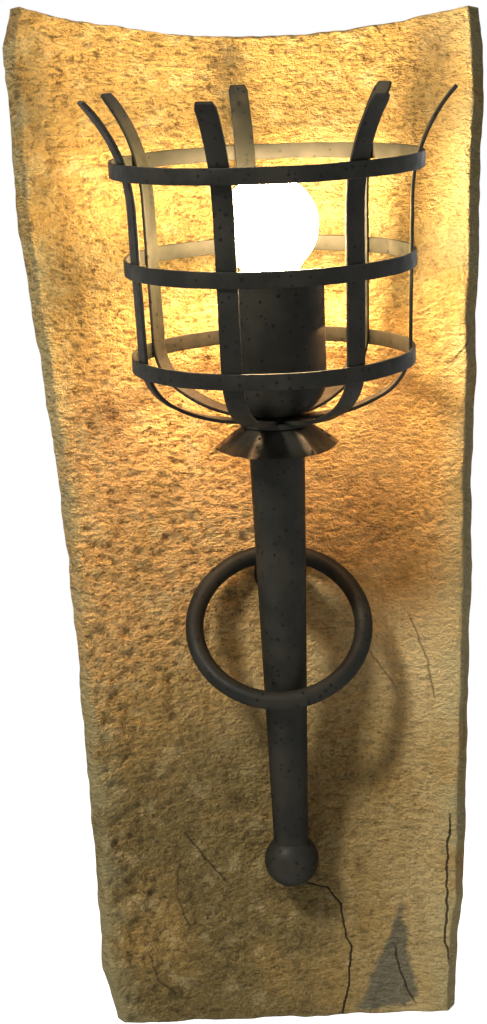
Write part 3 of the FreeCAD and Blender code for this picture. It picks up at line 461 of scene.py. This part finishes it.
# ---- the back slab
# share of the height from the foot; half width at the outer corner and drift to the right, in millimetres
SLAB_STATIONS = (
    (0.0, 112, 0), (0.05, 117.3, -2.8), (0.11, 120.4, -0.6), (0.235, 124.7, 1.1), (0.42, 130.8, 1.9),
    (0.54, 136, 0.8), (0.66, 142.3, -0.8), (0.78, 149.6, -3.4), (0.96, 155.6, -2.5), (1.0, 152, -1))
TOP_HALF, FOOT_HALF = 152, 118  # half widths over which the top and bottom edges bow, in millimetres

# flat spots on the front under the flange and the spacer, in millimetres: level, radius of the flat,
# radius at which the relief starts, and over what width it grows
SEATS = ((94, 18, 18, 10), (-94, 9, 10, 8))
BRACKET_SEAT = (27, 156)  # half width and half height of the flat at the back, in millimetres

# hairline cracks in the front: how dark, then (across, up) points in millimetres from the top down
CRACKS = (
    (0.95, ((11, -114), (24, -118), (31, -128), (34, -147), (37, -158), (35, -181), (30, -201))),
    (0.7, ((-67, -80), (-56, -95), (-44, -110))),
    (0.5, ((-96, -155), (-90, -173), (-80, -182))),
    (0.9, ((104, -71), (100, -105), (100, -126), (98, -148), (100, -163))),
    (0.7, ((133, 247), (126, 238), (118, 230))),
    (0.45, ((59, 37), (71, 19))),
    (0.8, ((66, -159), (70, -178), (76, -191))),
    (0.5, ((85, 60), (93, 34), (97, 10))),
    (0.5, ((-74, -96), (-77, -116), (-70, -136))),
)
CRACK_TAIL, CRACK_REACH = 6, 60  # how far it fades past its ends, and acts to its sides, in millimetres
NO_CRACK = (10.0, 0.0)  # far off, and not dark

# outline of the grey-blue patch near the foot, in millimetres
PATCH = ((71, -126), (40, -199), (52, -199), (66, -196), (80, -190))

# what each point of the slab tells its material; the mid-height mark lays painted lamp light, and the foot
# mark lays painted shade, partly browner clay, low on the left
CLAY_MARKS = ("coarse", "smooth", "painted_lamp_light", "foot", "rim", "patch", "crack_side", "crack_tone")


def slab_at(share):
    """Half width of the slab and its drift to the right, at a share of its height."""
    pairs = zip(SLAB_STATIONS, SLAB_STATIONS[1:])
    (s0, *low), (s1, *high) = next(pair for pair in pairs if share <= pair[1][0])
    t = (share - s0) / (s1 - s0)
    return [a + (b - a) * t for a, b in zip(low, high)]


def crack_at(x, z):
    """Signed distance from the nearest crack and how dark it is here."""
    best = NO_CRACK
    for tone, line in CRACKS:
        top, foot = line[0][1] + CRACK_TAIL, line[-1][1] - CRACK_TAIL
        if not foot < z < top or abs(x - line[0][0]) > CRACK_REACH:
            continue
        # beyond its ends the crack runs on straight and fades
        for a, b in zip(line, line[1:]):
            slope = (b[0] - a[0]) / (b[1] - a[1])
            side = (x - a[0] - slope * (z - a[1]) + 1.4 * rough(0, 60 * tone, z, 7)) / math.hypot(1, slope)
            if z >= b[1]:
                break
        if abs(side) < abs(best[0]):
            best = (side, tone * min(1.0, (z - foot) / CRACK_TAIL, (top - z) / CRACK_TAIL))
    return best


def segment_distance(p, a, b):
    """Distance from a point to a segment in the plane."""
    dx, dz = b[0] - a[0], b[1] - a[1]
    t = clamp(((p[0] - a[0]) * dx + (p[1] - a[1]) * dz) / (dx * dx + dz * dz))
    return math.hypot(p[0] - a[0] - t * dx, p[1] - a[1] - t * dz)


def inside(p, loop):
    """Whether a point lies in a loop."""
    odd = False
    for (x0, z0), (x1, z1) in zip(loop, loop[1:] + loop[:1]):
        if (z0 > p[1]) != (z1 > p[1]) and p[0] < (x1 - x0) * (p[1] - z0) / (z1 - z0) + x0:
            odd = not odd
    return odd


def rough(x, y, z, size):
    """Smooth noise with features of this size, from -1 to 1."""
    return noise.noise(Vector((x, y, z)) / size)


class TORCH_OT_slab(bpy.types.Operator):
    """Build the hollow clay slab with its worn edges, pits and cracks"""
    bl_idname = "torch.slab"
    bl_label = "Back slab"

    def execute(self, context):
        s = in_mm(context.scene.torch_slab)
        axis_y = -(s.back + s.curve_radius + s.gauge)
        across, up = 160, 330
        through = (0, 0.035, 0.08, 0.14, 0.23, 0.5, 0.77, 0.86, 0.92, 0.965, 1)
        last = len(through) - 1

        def ease(w):
            """Inset of a worn corner at a share of the thickness, from 1 at a face to 0 in the middle."""
            d = min(w, 1 - w) * s.gauge / s.worn
            return 1 - math.sqrt(1 - (1 - d) ** 2) if d < 1 else 0.0

        def place(u, v, w):
            """A point of the slab: u across from -1 to 1, v up from 0 to 1, w from front to back."""
            half, drift = slab_at(v)
            radius = s.curve_radius + s.gauge * w
            swing = math.asin(half / (s.curve_radius + s.gauge - s.worn))
            level = v * (s.top + s.bottom) - s.bottom
            # the long edges are uneven by hand, each in its own way
            side = 300 if u > 0 else -300
            edge = 1.6 * rough(side, w * 6, level, 34) + 0.8 * rough(side, w * 9, level, 11) - 0.3
            turn = u * (swing + (edge - s.worn * ease(w)) / radius) + drift / radius
            x = s.offset + radius * math.sin(turn)
            share = (x - s.offset) / TOP_HALF
            top = s.top - s.top_slant / 2 * share + s.top_dip * share * share
            share = (x - s.offset) / FOOT_HALF
            low = -s.bottom - s.bottom_bow * max(0.0, 1 - share * share)
            lip = 1.3 * rough(x, w * 7, v * 900, 26) + 0.6 * rough(x, w * 9, v * 900, 9) - 1.0
            top += lip - s.worn * ease(w)
            low -= lip - s.worn * ease(w)
            return x, axis_y + radius * math.cos(turn), low + v * (top - low)

        index, points, spots, faces = {}, [], [], []

        def corner(i, j, k):
            """Number of the vertex at one grid corner of the slab's skin."""
            if (i, j, k) not in index:
                u, w = 2 * i / across - 1, through[k]
                index[i, j, k] = len(points)
                points.append(Vector(place(u, j / up, w)))
                spots.append((u, w))
            return index[i, j, k]

        def skin(*corners):
            """A face between grid corners."""
            faces.append(tuple(corner(*spot) for spot in corners))

        for i in range(across):
            for j in range(up):
                skin((i, j, 0), (i + 1, j, 0), (i + 1, j + 1, 0), (i, j + 1, 0))
        # the back is half as fine: its border keeps every point, its middle every second one
        for i in range(0, across, 2):
            for j in range(0, up, 2):
                ring = [(i, j), (i, j + 2), (i + 2, j + 2), (i + 2, j)]
                if i == 0:
                    ring.insert(1, (0, j + 1))
                if j + 2 == up:
                    ring.insert(ring.index((i + 2, up)), (i + 1, up))
                if i + 2 == across:
                    ring.insert(ring.index((across, j)), (across, j + 1))
                if j == 0:
                    ring.append((i + 1, 0))
                skin(*[(a, b, last) for a, b in ring])
        for k in range(last):
            for j in range(up):
                skin((0, j, k), (0, j + 1, k), (0, j + 1, k + 1), (0, j, k + 1))
                skin((across, j, k), (across, j, k + 1), (across, j + 1, k + 1), (across, j + 1, k))
            for i in range(across):
                skin((i, up, k), (i + 1, up, k), (i + 1, up, k + 1), (i, up, k + 1))
                skin((i, 0, k), (i, 0, k + 1), (i + 1, 0, k + 1), (i + 1, 0, k))

        marks = {name: [] for name in CLAY_MARKS}
        for point, (u, w) in zip(points, spots):
            x, y, z = point
            # the clay is coarse on the left and at the top, dragged smooth low on the right
            coarse = clamp(0.7 + 0.45 * rough(x, y, z, 90) - 0.003 * x + 0.0007 * (z - 60), 0.12)
            marks["coarse"].append(coarse)
            marks["smooth"].append(clamp(1.3 - 1.5 * coarse))
            # painted lamp light: paler and warmer from the ring up to the basket, where the lamp's light
            # falls; browner below it on the left
            drift = 25 * rough(x, 30, z, 60)
            marks["painted_lamp_light"].append(clamp(min((z + drift + 10) / 70, (265 - z - drift) / 80)))
            # painted shade, partly browner clay: darker low on the left, away from the lamp's light
            marks["foot"].append(clamp((25 - z - drift) / 60) * clamp((75 - x - drift) / 70))
            near = max(0.0, (abs(u) - 0.86) / 0.14) if w < 1 else 0.6
            marks["rim"].append(min(1.0, near + (0.35 if 0 < w < 1 else 0.0)))
            spot = 0.0
            if w < 0.5:
                near = min(segment_distance((x, z), a, b) for a, b in zip(PATCH, PATCH[1:] + PATCH[:1]))
                spot = clamp(0.5 + near / 10) if inside((x, z), PATCH) else clamp(0.5 - near / 14)
            marks["patch"].append(spot)
            off, tone = crack_at(x, z) if w < 0.5 else NO_CRACK
            marks["crack_side"].append(clamp(off / 10, -1.0))
            marks["crack_tone"].append(tone)
            # relief, kept flat under what bears on it
            pits = 0.5 * rough(x * 0.8, y, z * 1.2, 9) - 0.9 * max(0.0, rough(x, y + 40, z, 6))
            relief = s.lumps * (rough(x, y, z, 70) + 0.5 * rough(x, y, z, 27) - 0.4)
            relief += s.pits * coarse * pits
            relief += (0.35 + 0.5 * coarse) * rough(x, y, z, 5)
            relief = min(relief, 0.4)
            crackle = tone * max(0.0, 1 - abs(off) / 2.4)
            seat = min(clamp((math.hypot(x, z - level) - start) / grow) for level, _, start, grow in SEATS)
            # the front's is pressed into the slab, the back's stays shallow
            front = (relief - 0.7 * crackle) * seat * (1 - min(1.0, w * 3))
            back = 0.35 * min(0.0, relief) * min(1.0, w * 2)
            point += Vector((x - s.offset, y - axis_y, 0)).normalized() * (back - front)
            if w == 0 and any(math.hypot(x, z - level) < flat for level, flat, *_ in SEATS):
                point.y = max(point.y, -(s.back + s.gauge))
            if w == 1 and abs(x) < BRACKET_SEAT[0] and abs(z) < BRACKET_SEAT[1]:
                point.y = min(point.y, -s.flat)

        slab = mesh_object("clay_slab", [p * MM for p in points], faces, fired_clay())
        for name, values in marks.items():
            slab.data.attributes.new(name, "FLOAT", "POINT").data.foreach_set("value", values)
        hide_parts("back_slab")
        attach(slab, "sconce")
        return {"FINISHED"}


# ---- the basket
# a strap's centre line, out from the torch's axis and up from the ball's centre in millimetres. A bend
# has a radius, below 0 where it bends down, its direction at start and end in degrees above level, and steps
STRAP_FOOT = ((15.0, 297.286), (16.5, 297.286))
STRAP_BOWL = ((100, 0, 30, 10), (35, 30, 88.26, 12))
STRAP_STRAIGHT = (90, 9)  # its length and steps
STRAP_FLARE = (-97, 88.26, 46, 16)
TIP_CLIP = 0.22  # share of its width that the tip loses at its two corners

# radius inside and level of the top edge above the ball's centre, in millimetres
HOOPS = {"low": (85.14, 340.09), "mid": (86.93, 399.09), "top": (92.92, 457.79)}

STRAP_CORNER, HOOP_CORNER = 0.45, 0.5  # rounding of the bars' edges, in millimetres
STRAP_MARKS, HOOP_MARKS = 0.0006, 0.0007  # how much the hammer leaves bars uneven, in metres


def bend(path, radius, start, end, steps):
    """Carry a path on round a bend."""
    a = math.radians(start)
    r, z = path[-1]
    r, z = r - radius * math.sin(a), z + radius * math.cos(a)
    for i in range(1, steps + 1):
        a = math.radians(start + (end - start) * i / steps)
        path.append((r + radius * math.sin(a), z - radius * math.cos(a)))


def strap_blank(width, gauge):
    """One strap, bent to its bowl, straight and flare, along +X and up Z, in metres."""
    path = list(STRAP_FOOT)
    for turn in STRAP_BOWL:
        bend(path, *turn)
    r, z = path[-1]
    steep = math.radians(STRAP_FLARE[1])
    straight, steps = STRAP_STRAIGHT
    for k in range(1, steps + 1):
        run = straight * k / steps
        path.append((r + run * math.cos(steep), z + run * math.sin(steep)))
    bend(path, *STRAP_FLARE)
    outline = rounded_bar(width, gauge, STRAP_CORNER)
    sides, last = len(outline), len(path) - 1
    points, faces = [], []
    for n, (r, z) in enumerate(path):
        before, after = path[max(0, n - 1)], path[min(last, n + 1)]
        along = Vector((after[0] - before[0], 0, after[1] - before[1])).normalized()
        out = Vector((along.z, 0, -along.x))
        narrow = 1 - TIP_CLIP if n == last else 1
        for a, b in outline:
            points.append(Vector((r, 0, z)) + out * b - Vector((0, 1, 0)) * a * narrow)
    for n in range(last):
        faces += band(n * sides, (n + 1) * sides, sides)
    faces.append(tuple(range(sides - 1, -1, -1)))
    faces.append(tuple(range(last * sides, (last + 1) * sides)))
    return mesh_object("basket_straps", [p * MM for p in points], faces)


def new_tree(name, sockets):
    """A tree for forged bars, with these and the common inputs: (tree, group input, group output)."""
    tree = bpy.data.node_groups.new(name, "GeometryNodeTree")
    tree.interface.new_socket("Geometry", in_out="INPUT", socket_type="NodeSocketGeometry")
    for label, kind in (*sockets, ("Lean", "NodeSocketFloat"), ("Ball", "NodeSocketVector"),
                        ("Marks", "NodeSocketFloat"), ("Finish", "NodeSocketMaterial")):
        tree.interface.new_socket(label, in_out="INPUT", socket_type=kind)
    tree.interface.new_socket("Geometry", in_out="OUTPUT", socket_type="NodeSocketGeometry")
    return tree, add(tree, "NodeGroupInput"), add(tree, "NodeGroupOutput")


def lean_and_finish(tree, given, result, upright):
    """End a tree: lean its geometry with the torch, mark it by hand and give it its finish."""
    lean = add(tree, "ShaderNodeCombineXYZ", {0: given.outputs["Lean"]})
    leaning = add(tree, "GeometryNodeTransform", {
        "Geometry": upright, "Translation": given.outputs["Ball"], "Rotation": lean})
    solid = add(tree, "GeometryNodeRealizeInstances", {"Geometry": leaning})
    # hammered bar is uneven by a few tenths of a millimetre, in waves of 24 mm
    waves = add(tree, "ShaderNodeTexNoise", {
        "Vector": add(tree, "GeometryNodeInputPosition"), "Scale": per_metre(24), "Detail": 1.0})
    centred = add(tree, "ShaderNodeVectorMath", {0: waves.outputs["Color"], 1: (0.5, 0.5, 0.5)},
                  operation="SUBTRACT")
    moved = add(tree, "ShaderNodeVectorMath", {0: centred, "Scale": given.outputs["Marks"]},
                operation="SCALE")
    marked = add(tree, "GeometryNodeSetPosition", {"Geometry": solid, "Offset": moved})
    done = add(tree, "GeometryNodeSetMaterial", {"Geometry": marked, "Material": given.outputs["Finish"]})
    tree.links.new(done.outputs[0], result.inputs[0])
    return tree


def forge(obj, tree, marks, **values):
    """Run a tree over an object, with these inputs and the torch's own, and keep what it makes as a
    plain mesh, smooth but for its edges."""
    iron = bpy.context.scene.torch_iron
    values |= {"Lean": iron.lean, "Ball": (0.0, -iron.ball_out, -iron.ball_down), "Marks": marks,
               "Finish": anthracite_paint()}
    modifier = obj.modifiers.new(tree.name, "NODES")
    modifier.node_group = tree
    for item in tree.interface.items_tree:
        if item.item_type == "SOCKET" and item.in_out == "INPUT" and item.name in values:
            modifier[item.identifier] = values[item.name]
    depsgraph = bpy.context.evaluated_depsgraph_get()
    data = bpy.data.meshes.new_from_object(obj.evaluated_get(depsgraph))
    obj.modifiers.clear()
    obj.data = data
    data.polygons.foreach_set("use_smooth", [True] * len(data.polygons))
    data.set_sharp_from_angle(angle=math.radians(50))


def strap_ring_tree():
    """Repeats one strap round the torch's axis."""
    tree, given, result = new_tree("strap_ring", (("Count", "NodeSocketInt"), ("First", "NodeSocketFloat")))
    spots = add(tree, "GeometryNodePoints", {"Count": given.outputs["Count"]})
    step = add(tree, "ShaderNodeMath", {0: 2 * math.pi, 1: given.outputs["Count"]}, operation="DIVIDE")
    first = add(tree, "ShaderNodeMath", {0: given.outputs["First"], 1: math.pi / 2}, operation="SUBTRACT")
    turn = add(tree, "ShaderNodeMath", {0: add(tree, "GeometryNodeInputIndex"), 1: step, 2: first},
               operation="MULTIPLY_ADD")
    ring = add(tree, "GeometryNodeInstanceOnPoints", {
        "Points": spots, "Instance": given.outputs["Geometry"],
        "Rotation": add(tree, "ShaderNodeCombineXYZ", {2: turn})})
    return lean_and_finish(tree, given, result, ring)


def hoop_tree():
    """Sweeps the outline of a bar round a hoop."""
    tree, given, result = new_tree("hoop", (("Radius", "NodeSocketFloat"), ("Level", "NodeSocketFloat")))
    circle = add(tree, "GeometryNodeCurvePrimitiveCircle",
                 {"Resolution": 144, "Radius": given.outputs["Radius"]}, mode="RADIUS")
    bar = add(tree, "GeometryNodeMeshToCurve", {"Mesh": given.outputs["Geometry"]})
    swept = add(tree, "GeometryNodeCurveToMesh", {"Curve": circle, "Profile Curve": bar})
    raised = add(tree, "GeometryNodeTransform", {
        "Geometry": swept, "Translation": add(tree, "ShaderNodeCombineXYZ", {2: given.outputs["Level"]})})
    return lean_and_finish(tree, given, result, raised)


class TORCH_OT_straps(bpy.types.Operator):
    """Forge the ring of straps that make the basket"""
    bl_idname = "torch.straps"
    bl_label = "Basket straps"

    def execute(self, context):
        iron = in_mm(context.scene.torch_iron)
        straps = strap_blank(iron.strap_width, iron.strap_gauge)
        forge(straps, strap_ring_tree(), STRAP_MARKS, Count=iron.strap_count, First=iron.strap_phase)
        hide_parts(*[f"strap_{k + 1}" for k in range(7)])
        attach(straps, "sconce")
        return {"FINISHED"}


class TORCH_OT_hoops(bpy.types.Operator):
    """Forge the three hoops of the basket"""
    bl_idname = "torch.hoops"
    bl_label = "Basket hoops"

    def execute(self, context):
        iron = in_mm(context.scene.torch_iron)
        tree = hoop_tree()
        outline = rounded_bar(iron.hoop_gauge, iron.hoop_height, HOOP_CORNER)
        n = len(outline)
        for where, (inner, top) in HOOPS.items():
            data = bpy.data.meshes.new(f"{where}_bar")
            data.from_pydata([(a * MM, b * MM, 0) for a, b in outline],
                             [(k, (k + 1) % n) for k in range(n)], [])
            hoop = bpy.data.objects.new(f"basket_hoop_{where}", data)
            context.scene.collection.objects.link(hoop)
            forge(hoop, tree, HOOP_MARKS, Radius=(inner + iron.hoop_gauge / 2) * MM,
                  Level=(top - iron.hoop_height / 2) * MM)
            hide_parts(f"hoop_{where}")
            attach(hoop, "sconce")
        return {"FINISHED"}


# the drip collar, in millimetres: its level above the ball's centre, gauge, hole for the stem and depth
# there; radius of its flat, reach and drop of its skirt; reach and lift of its folds, hollow of its lobes
COLLAR_LEVEL, COLLAR_GAUGE, COLLAR_BORE, BORE_DEPTH = 293.19, 1.6, 5.05, 1.9
FLAT_RADIUS, SKIRT_REACH, SKIRT_DROP = 20.2, 15.2, 14.9
RIDGE_REACH, RIDGE_RISE, LOBE_HOLLOW = 4.2, 1.0, 3.2


class TORCH_OT_collar(bpy.types.Operator):
    """Beat the scalloped drip collar between shaft and basket"""
    bl_idname = "torch.collar"
    bl_label = "Drip collar"

    def execute(self, context):
        around, rows, phase, to_wall = 144, 10, math.radians(-25), torch_matrix()
        points, faces, folds = [], [], []

        def valley(turn):
            """How far from a fold this is, from 0 on it to 1 between two of the six."""
            return abs(math.sin(3 * (turn - phase)))

        def skirt(t, turn, under):
            """Radius and level of a point of the skirt: t from the flat top to the rim."""
            ridge = 1 - valley(turn) ** 0.65
            reach = FLAT_RADIUS + (SKIRT_REACH + RIDGE_REACH * ridge) * t ** 0.85
            reach -= LOBE_HOLLOW * (1 - ridge) * math.sin(math.pi * t ** 1.3)
            drop = (SKIRT_DROP - RIDGE_RISE * ridge) * t ** 0.95
            drop += 0.5 * rough(60 * math.sin(turn), 60 * math.cos(turn), 9 * t, 14)
            if under:
                reach -= COLLAR_GAUGE * 0.85
                drop += COLLAR_GAUGE * 0.5 * (1 - t)
            return reach, COLLAR_LEVEL - drop

        def add_point(turn, r, z, fold):
            """A point of the collar and how much of the painted fold highlight it carries."""
            points.append(to_wall @ Vector((r * math.sin(turn) * MM, -r * math.cos(turn) * MM, z * MM)))
            folds.append(fold)

        turns = [2 * math.pi * k / around for k in range(around)]
        for under in (False, True):
            for row in range(rows + 1):
                for turn in turns:
                    # how much painted highlight, partly rubbed bare iron, each point takes: full on a fold's
                    # ridge, none between folds or near the flat top
                    fold = max(0.0, 1 - 2.6 * valley(turn)) * min(1.0, row / 3)
                    add_point(turn, *skirt(row / rows, turn, under), fold)
        # flat top and its underside, open at the middle for the stem
        low = COLLAR_LEVEL - BORE_DEPTH
        for r, z in ((12, COLLAR_LEVEL), (COLLAR_BORE, COLLAR_LEVEL), (COLLAR_BORE, low), (15, low)):
            for turn in turns:
                add_point(turn, r, z, 0.0)
        sheet, rim = (rows + 1) * around, rows * around
        for a in range(0, rim, around):
            faces += band(a, a + around, around, flip=True)
            faces += band(sheet + a, sheet + a + around, around)
        faces += band(rim, sheet + rim, around, flip=True)
        rings = [0] + [2 * sheet + n * around for n in range(4)] + [sheet]
        for a, b in zip(rings, rings[1:]):
            faces += band(b, a, around, flip=True)
        collar = mesh_object("beaten_collar", points, faces, anthracite_paint())
        collar.data.set_sharp_from_angle(angle=math.radians(40))
        collar.data.attributes.new("fold", "FLOAT", "POINT").data.foreach_set("value", folds)
        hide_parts("drip_collar")
        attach(collar, "sconce")
        return {"FINISHED"}


class TORCH_OT_ironwork(bpy.types.Operator):
    """Paint shaft, ball, cup, hub, spigot and ring"""
    bl_idname = "torch.ironwork"
    bl_label = "Ironwork"

    def execute(self, context):
        paint = anthracite_paint()
        for name in ("shaft", "ball_end", "lamp_cup", "basket_hub", "spigot", "ring_flange", "ball_spacer",
                     "hanging_ring"):
            finish(name, paint)
        return {"FINISHED"}


class TORCH_OT_fixings(bpy.types.Operator):
    """Plate the bracket, tubes, stud, nuts and washers"""
    bl_idname = "torch.fixings"
    bl_label = "Fixings"

    def execute(self, context):
        zinc = zinc_plate()
        for name in ("wall_bracket", "spigot_tube", "spigot_washer", "spigot_nut", "lower_stud",
                     "lower_washer", "lower_nut", "shaft_plug", "hub_tube", "hub_washer", "hub_nut",
                     "holder_plate"):
            finish(name, zinc)
        return {"FINISHED"}


# the screw cap: its two ends above the ball's centre, the plain band under the globe, the radius there
# and the depth of the thread, in millimetres
CAP_BASE, CAP_TOP, CAP_BAND, NECK_RADIUS, THREAD_DEPTH = 343.49, 366.49, 3, 14.5, 1.0


class TORCH_OT_lamp(bpy.types.Operator):
    """Fit the porcelain holder and the lit lamp"""
    bl_idname = "torch.lamp"
    bl_label = "Lamp"

    def execute(self, context):
        lamp = in_mm(context.scene.torch_lamp)
        finish("holder_porcelain", glazed_porcelain())
        brass = pressed_brass()
        finish("holder_shell", brass)
        finish("holder_contact", brass)
        finish("lamp_globe", lit_opal_glass())
        finish("lamp_insulator", black_glass())
        finish("lamp_contact", lead_free_solder())
        # screw cap: the thread is a wave that climbs one pitch in each turn
        steps, rows, to_wall = 96, 92, torch_matrix()
        points, faces = [], []
        for row in range(rows + 1):
            z = CAP_BASE + (CAP_TOP - CAP_BASE) * row / rows
            plain = z - CAP_TOP + CAP_BAND
            depth = THREAD_DEPTH * clamp(min((z - CAP_BASE) / 2.5, -plain / 2))
            widening = (NECK_RADIUS - lamp.cap_radius) * max(0.0, plain) / CAP_BAND
            for k in range(steps):
                a = 2 * math.pi * k / steps
                wave = 0.5 + 0.5 * math.cos(2 * math.pi * (z / lamp.thread_pitch - k / steps))
                r = lamp.cap_radius - depth * wave + widening
                points.append(to_wall @ Vector((r * MM * math.cos(a), r * MM * math.sin(a), z * MM)))
        for row in range(rows):
            faces += band(row * steps, (row + 1) * steps, steps)
        faces.append(tuple(range(steps - 1, -1, -1)))
        faces.append(tuple(range(rows * steps, (rows + 1) * steps)))
        cap = mesh_object("screw_cap", points, faces, rolled_aluminium())
        cap.data.set_sharp_from_angle(angle=math.radians(50))
        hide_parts("lamp_cap")
        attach(cap, "lamp")
        return {"FINISHED"}


# ---- the stage
PICTURE_HEIGHT, SENSOR_HEIGHT = 1024, 24  # in pixels and in millimetres
FLOOR_HALF = 6  # in metres


def seen_rays(tree):
    """1 for rays from the camera, straight, off metal or through glass, and 0 for the light on things."""
    path = add(tree, "ShaderNodeLightPath")
    seen = path.outputs["Is Camera Ray"]
    for ray in ("Is Glossy Ray", "Is Transmission Ray"):
        seen = add(tree, "ShaderNodeMath", {0: seen, 1: path.outputs[ray]}, operation="MAXIMUM")
    return seen


def pale_floor(tint):
    """A floor that looks almost white, a little more so far off, and keeps the object's shadow: half of
    what is seen is its own glow, and the light on it makes up the rest."""
    mat = bpy.data.materials.new("pale_floor")
    tree = empty_tree(mat)
    plain = add(tree, "ShaderNodeBsdfDiffuse", {"Color": tint})
    far = add(tree, "ShaderNodeVectorMath", {0: add(tree, "ShaderNodeTexCoord").outputs["Object"]},
              operation="LENGTH")
    white = add(tree, "ShaderNodeMapRange", {
        "Value": far.outputs["Value"], "From Min": 0.5, "From Max": 1.6, "To Min": 1.8, "To Max": 2.1})
    glow = add(tree, "ShaderNodeEmission", {"Color": (1, 1, 1, 1), "Strength": white})
    lifted = add(tree, "ShaderNodeMixShader", {0: 0.5, 1: plain, 2: glow})
    both = add(tree, "ShaderNodeMixShader", {0: seen_rays(tree), 1: plain, 2: lifted})
    add(tree, "ShaderNodeOutputMaterial", {"Surface": both})
    return mat


class TORCH_OT_stage(bpy.types.Operator):
    """Set the floor, the light and the camera"""
    bl_idname = "torch.stage"
    bl_label = "Stage"

    def execute(self, context):
        scene, stage = context.scene, context.scene.torch_stage
        scene.view_settings.view_transform = "Standard"

        camera_data = bpy.data.cameras.new("camera")
        camera_data.sensor_fit = "VERTICAL"
        camera_data.sensor_height = SENSOR_HEIGHT
        camera_data.lens = stage.focal_px / PICTURE_HEIGHT * SENSOR_HEIGHT
        camera_data.clip_start, camera_data.clip_end = 0.05, 50
        camera = bpy.data.objects.new("camera", camera_data)
        scene.collection.objects.link(camera)
        camera.matrix_world = (Matrix.Translation(stage.camera_at)
                               @ Matrix.Rotation(math.radians(90) + stage.pitch, 4, "X")
                               @ Matrix.Rotation(stage.roll, 4, "Z"))
        scene.camera = camera

        corners = [(x * FLOOR_HALF, y * FLOOR_HALF, -stage.floor_down)
                   for x, y in ((-1, -1), (1, -1), (1, 1), (-1, 1))]
        floor = mesh_object("floor", corners, [(0, 1, 2, 3)], pale_floor(stage.white), smooth=False)

        scene.world = bpy.data.worlds.new("white_room")
        tree = empty_tree(scene.world)
        strength = add(tree, "ShaderNodeMix", {"Factor": seen_rays(tree), "A": stage.fill, "B": 1.0})
        room = add(tree, "ShaderNodeBackground", {"Color": (1, 1, 1, 1), "Strength": strength})
        add(tree, "ShaderNodeOutputWorld", {0: room})

        # the last one is what the globe throws down past the cup, onto the middle of the slab
        middle, shaft = (0, -0.08, 0.12), (0, -0.035, 0.06)
        for name, spot, aim, size, watts, tint in (
                ("key", (-0.8, -1.15, 1.1), middle, 0.25, stage.key_watts, "fff6ea"),
                ("fill", (1.5, -1.6, 0.5), middle, 1.4, stage.key_watts * 0.12, "f2f6ff"),
                ("back", (0.6, 1.6, 0.9), middle, 1.2, stage.key_watts * 0.4, "ffffff"),
                ("glow", (0.0, -0.095, 0.262), shaft, 0.12, stage.glow_watts, "ffbf80")):
            light = bpy.data.lights.new(name, "AREA")
            light.size, light.energy, light.color = size, watts, srgb(tint)[:3]
            lamp = bpy.data.objects.new(name, light)
            scene.collection.objects.link(lamp)
            lamp.location = spot
            lamp.rotation_euler = (Vector(aim) - Vector(spot)).to_track_quat("-Z", "Y").to_euler()
            lamp.visible_camera = False
        return {"FINISHED"}


class TORCH_PT_panel(bpy.types.Panel):
    """Sidebar panel with the sconce's pieces"""
    bl_idname = "TORCH_PT_panel"
    bl_label = "Torch Sconce"
    bl_space_type = "VIEW_3D"
    bl_region_type = "UI"
    bl_category = "Torch Sconce"

    def draw(self, context):
        for operator in OPERATORS:
            self.layout.operator(operator.bl_idname)
        for group in ("torch_slab", "torch_iron", "torch_lamp", "torch_stage"):
            box = self.layout.box()
            settings = getattr(context.scene, group)
            for prop in settings.bl_rna.properties:
                if not prop.is_readonly and prop.identifier != "name":
                    box.prop(settings, prop.identifier)


OPERATORS = (TORCH_OT_slab, TORCH_OT_straps, TORCH_OT_hoops, TORCH_OT_collar, TORCH_OT_ironwork,
             TORCH_OT_fixings, TORCH_OT_lamp, TORCH_OT_stage)
GROUPS = {"torch_slab": SlabSettings, "torch_iron": IronSettings, "torch_lamp": LampSettings,
          "torch_stage": StageSettings}


def register():
    for cls in (*GROUPS.values(), *OPERATORS, TORCH_PT_panel):
        bpy.utils.register_class(cls)
    for name, cls in GROUPS.items():
        setattr(bpy.types.Scene, name, bpy.props.PointerProperty(type=cls))


def unregister():
    for name in GROUPS:
        delattr(bpy.types.Scene, name)
    for cls in reversed((*GROUPS.values(), *OPERATORS, TORCH_PT_panel)):
        bpy.utils.unregister_class(cls)


def main():
    register()
    bpy.ops.torch.slab()
    bpy.ops.torch.straps()
    bpy.ops.torch.hoops()
    bpy.ops.torch.collar()
    bpy.ops.torch.ironwork()
    bpy.ops.torch.fixings()
    bpy.ops.torch.lamp()
    bpy.ops.torch.stage()


if __name__ == "__main__":
    main()
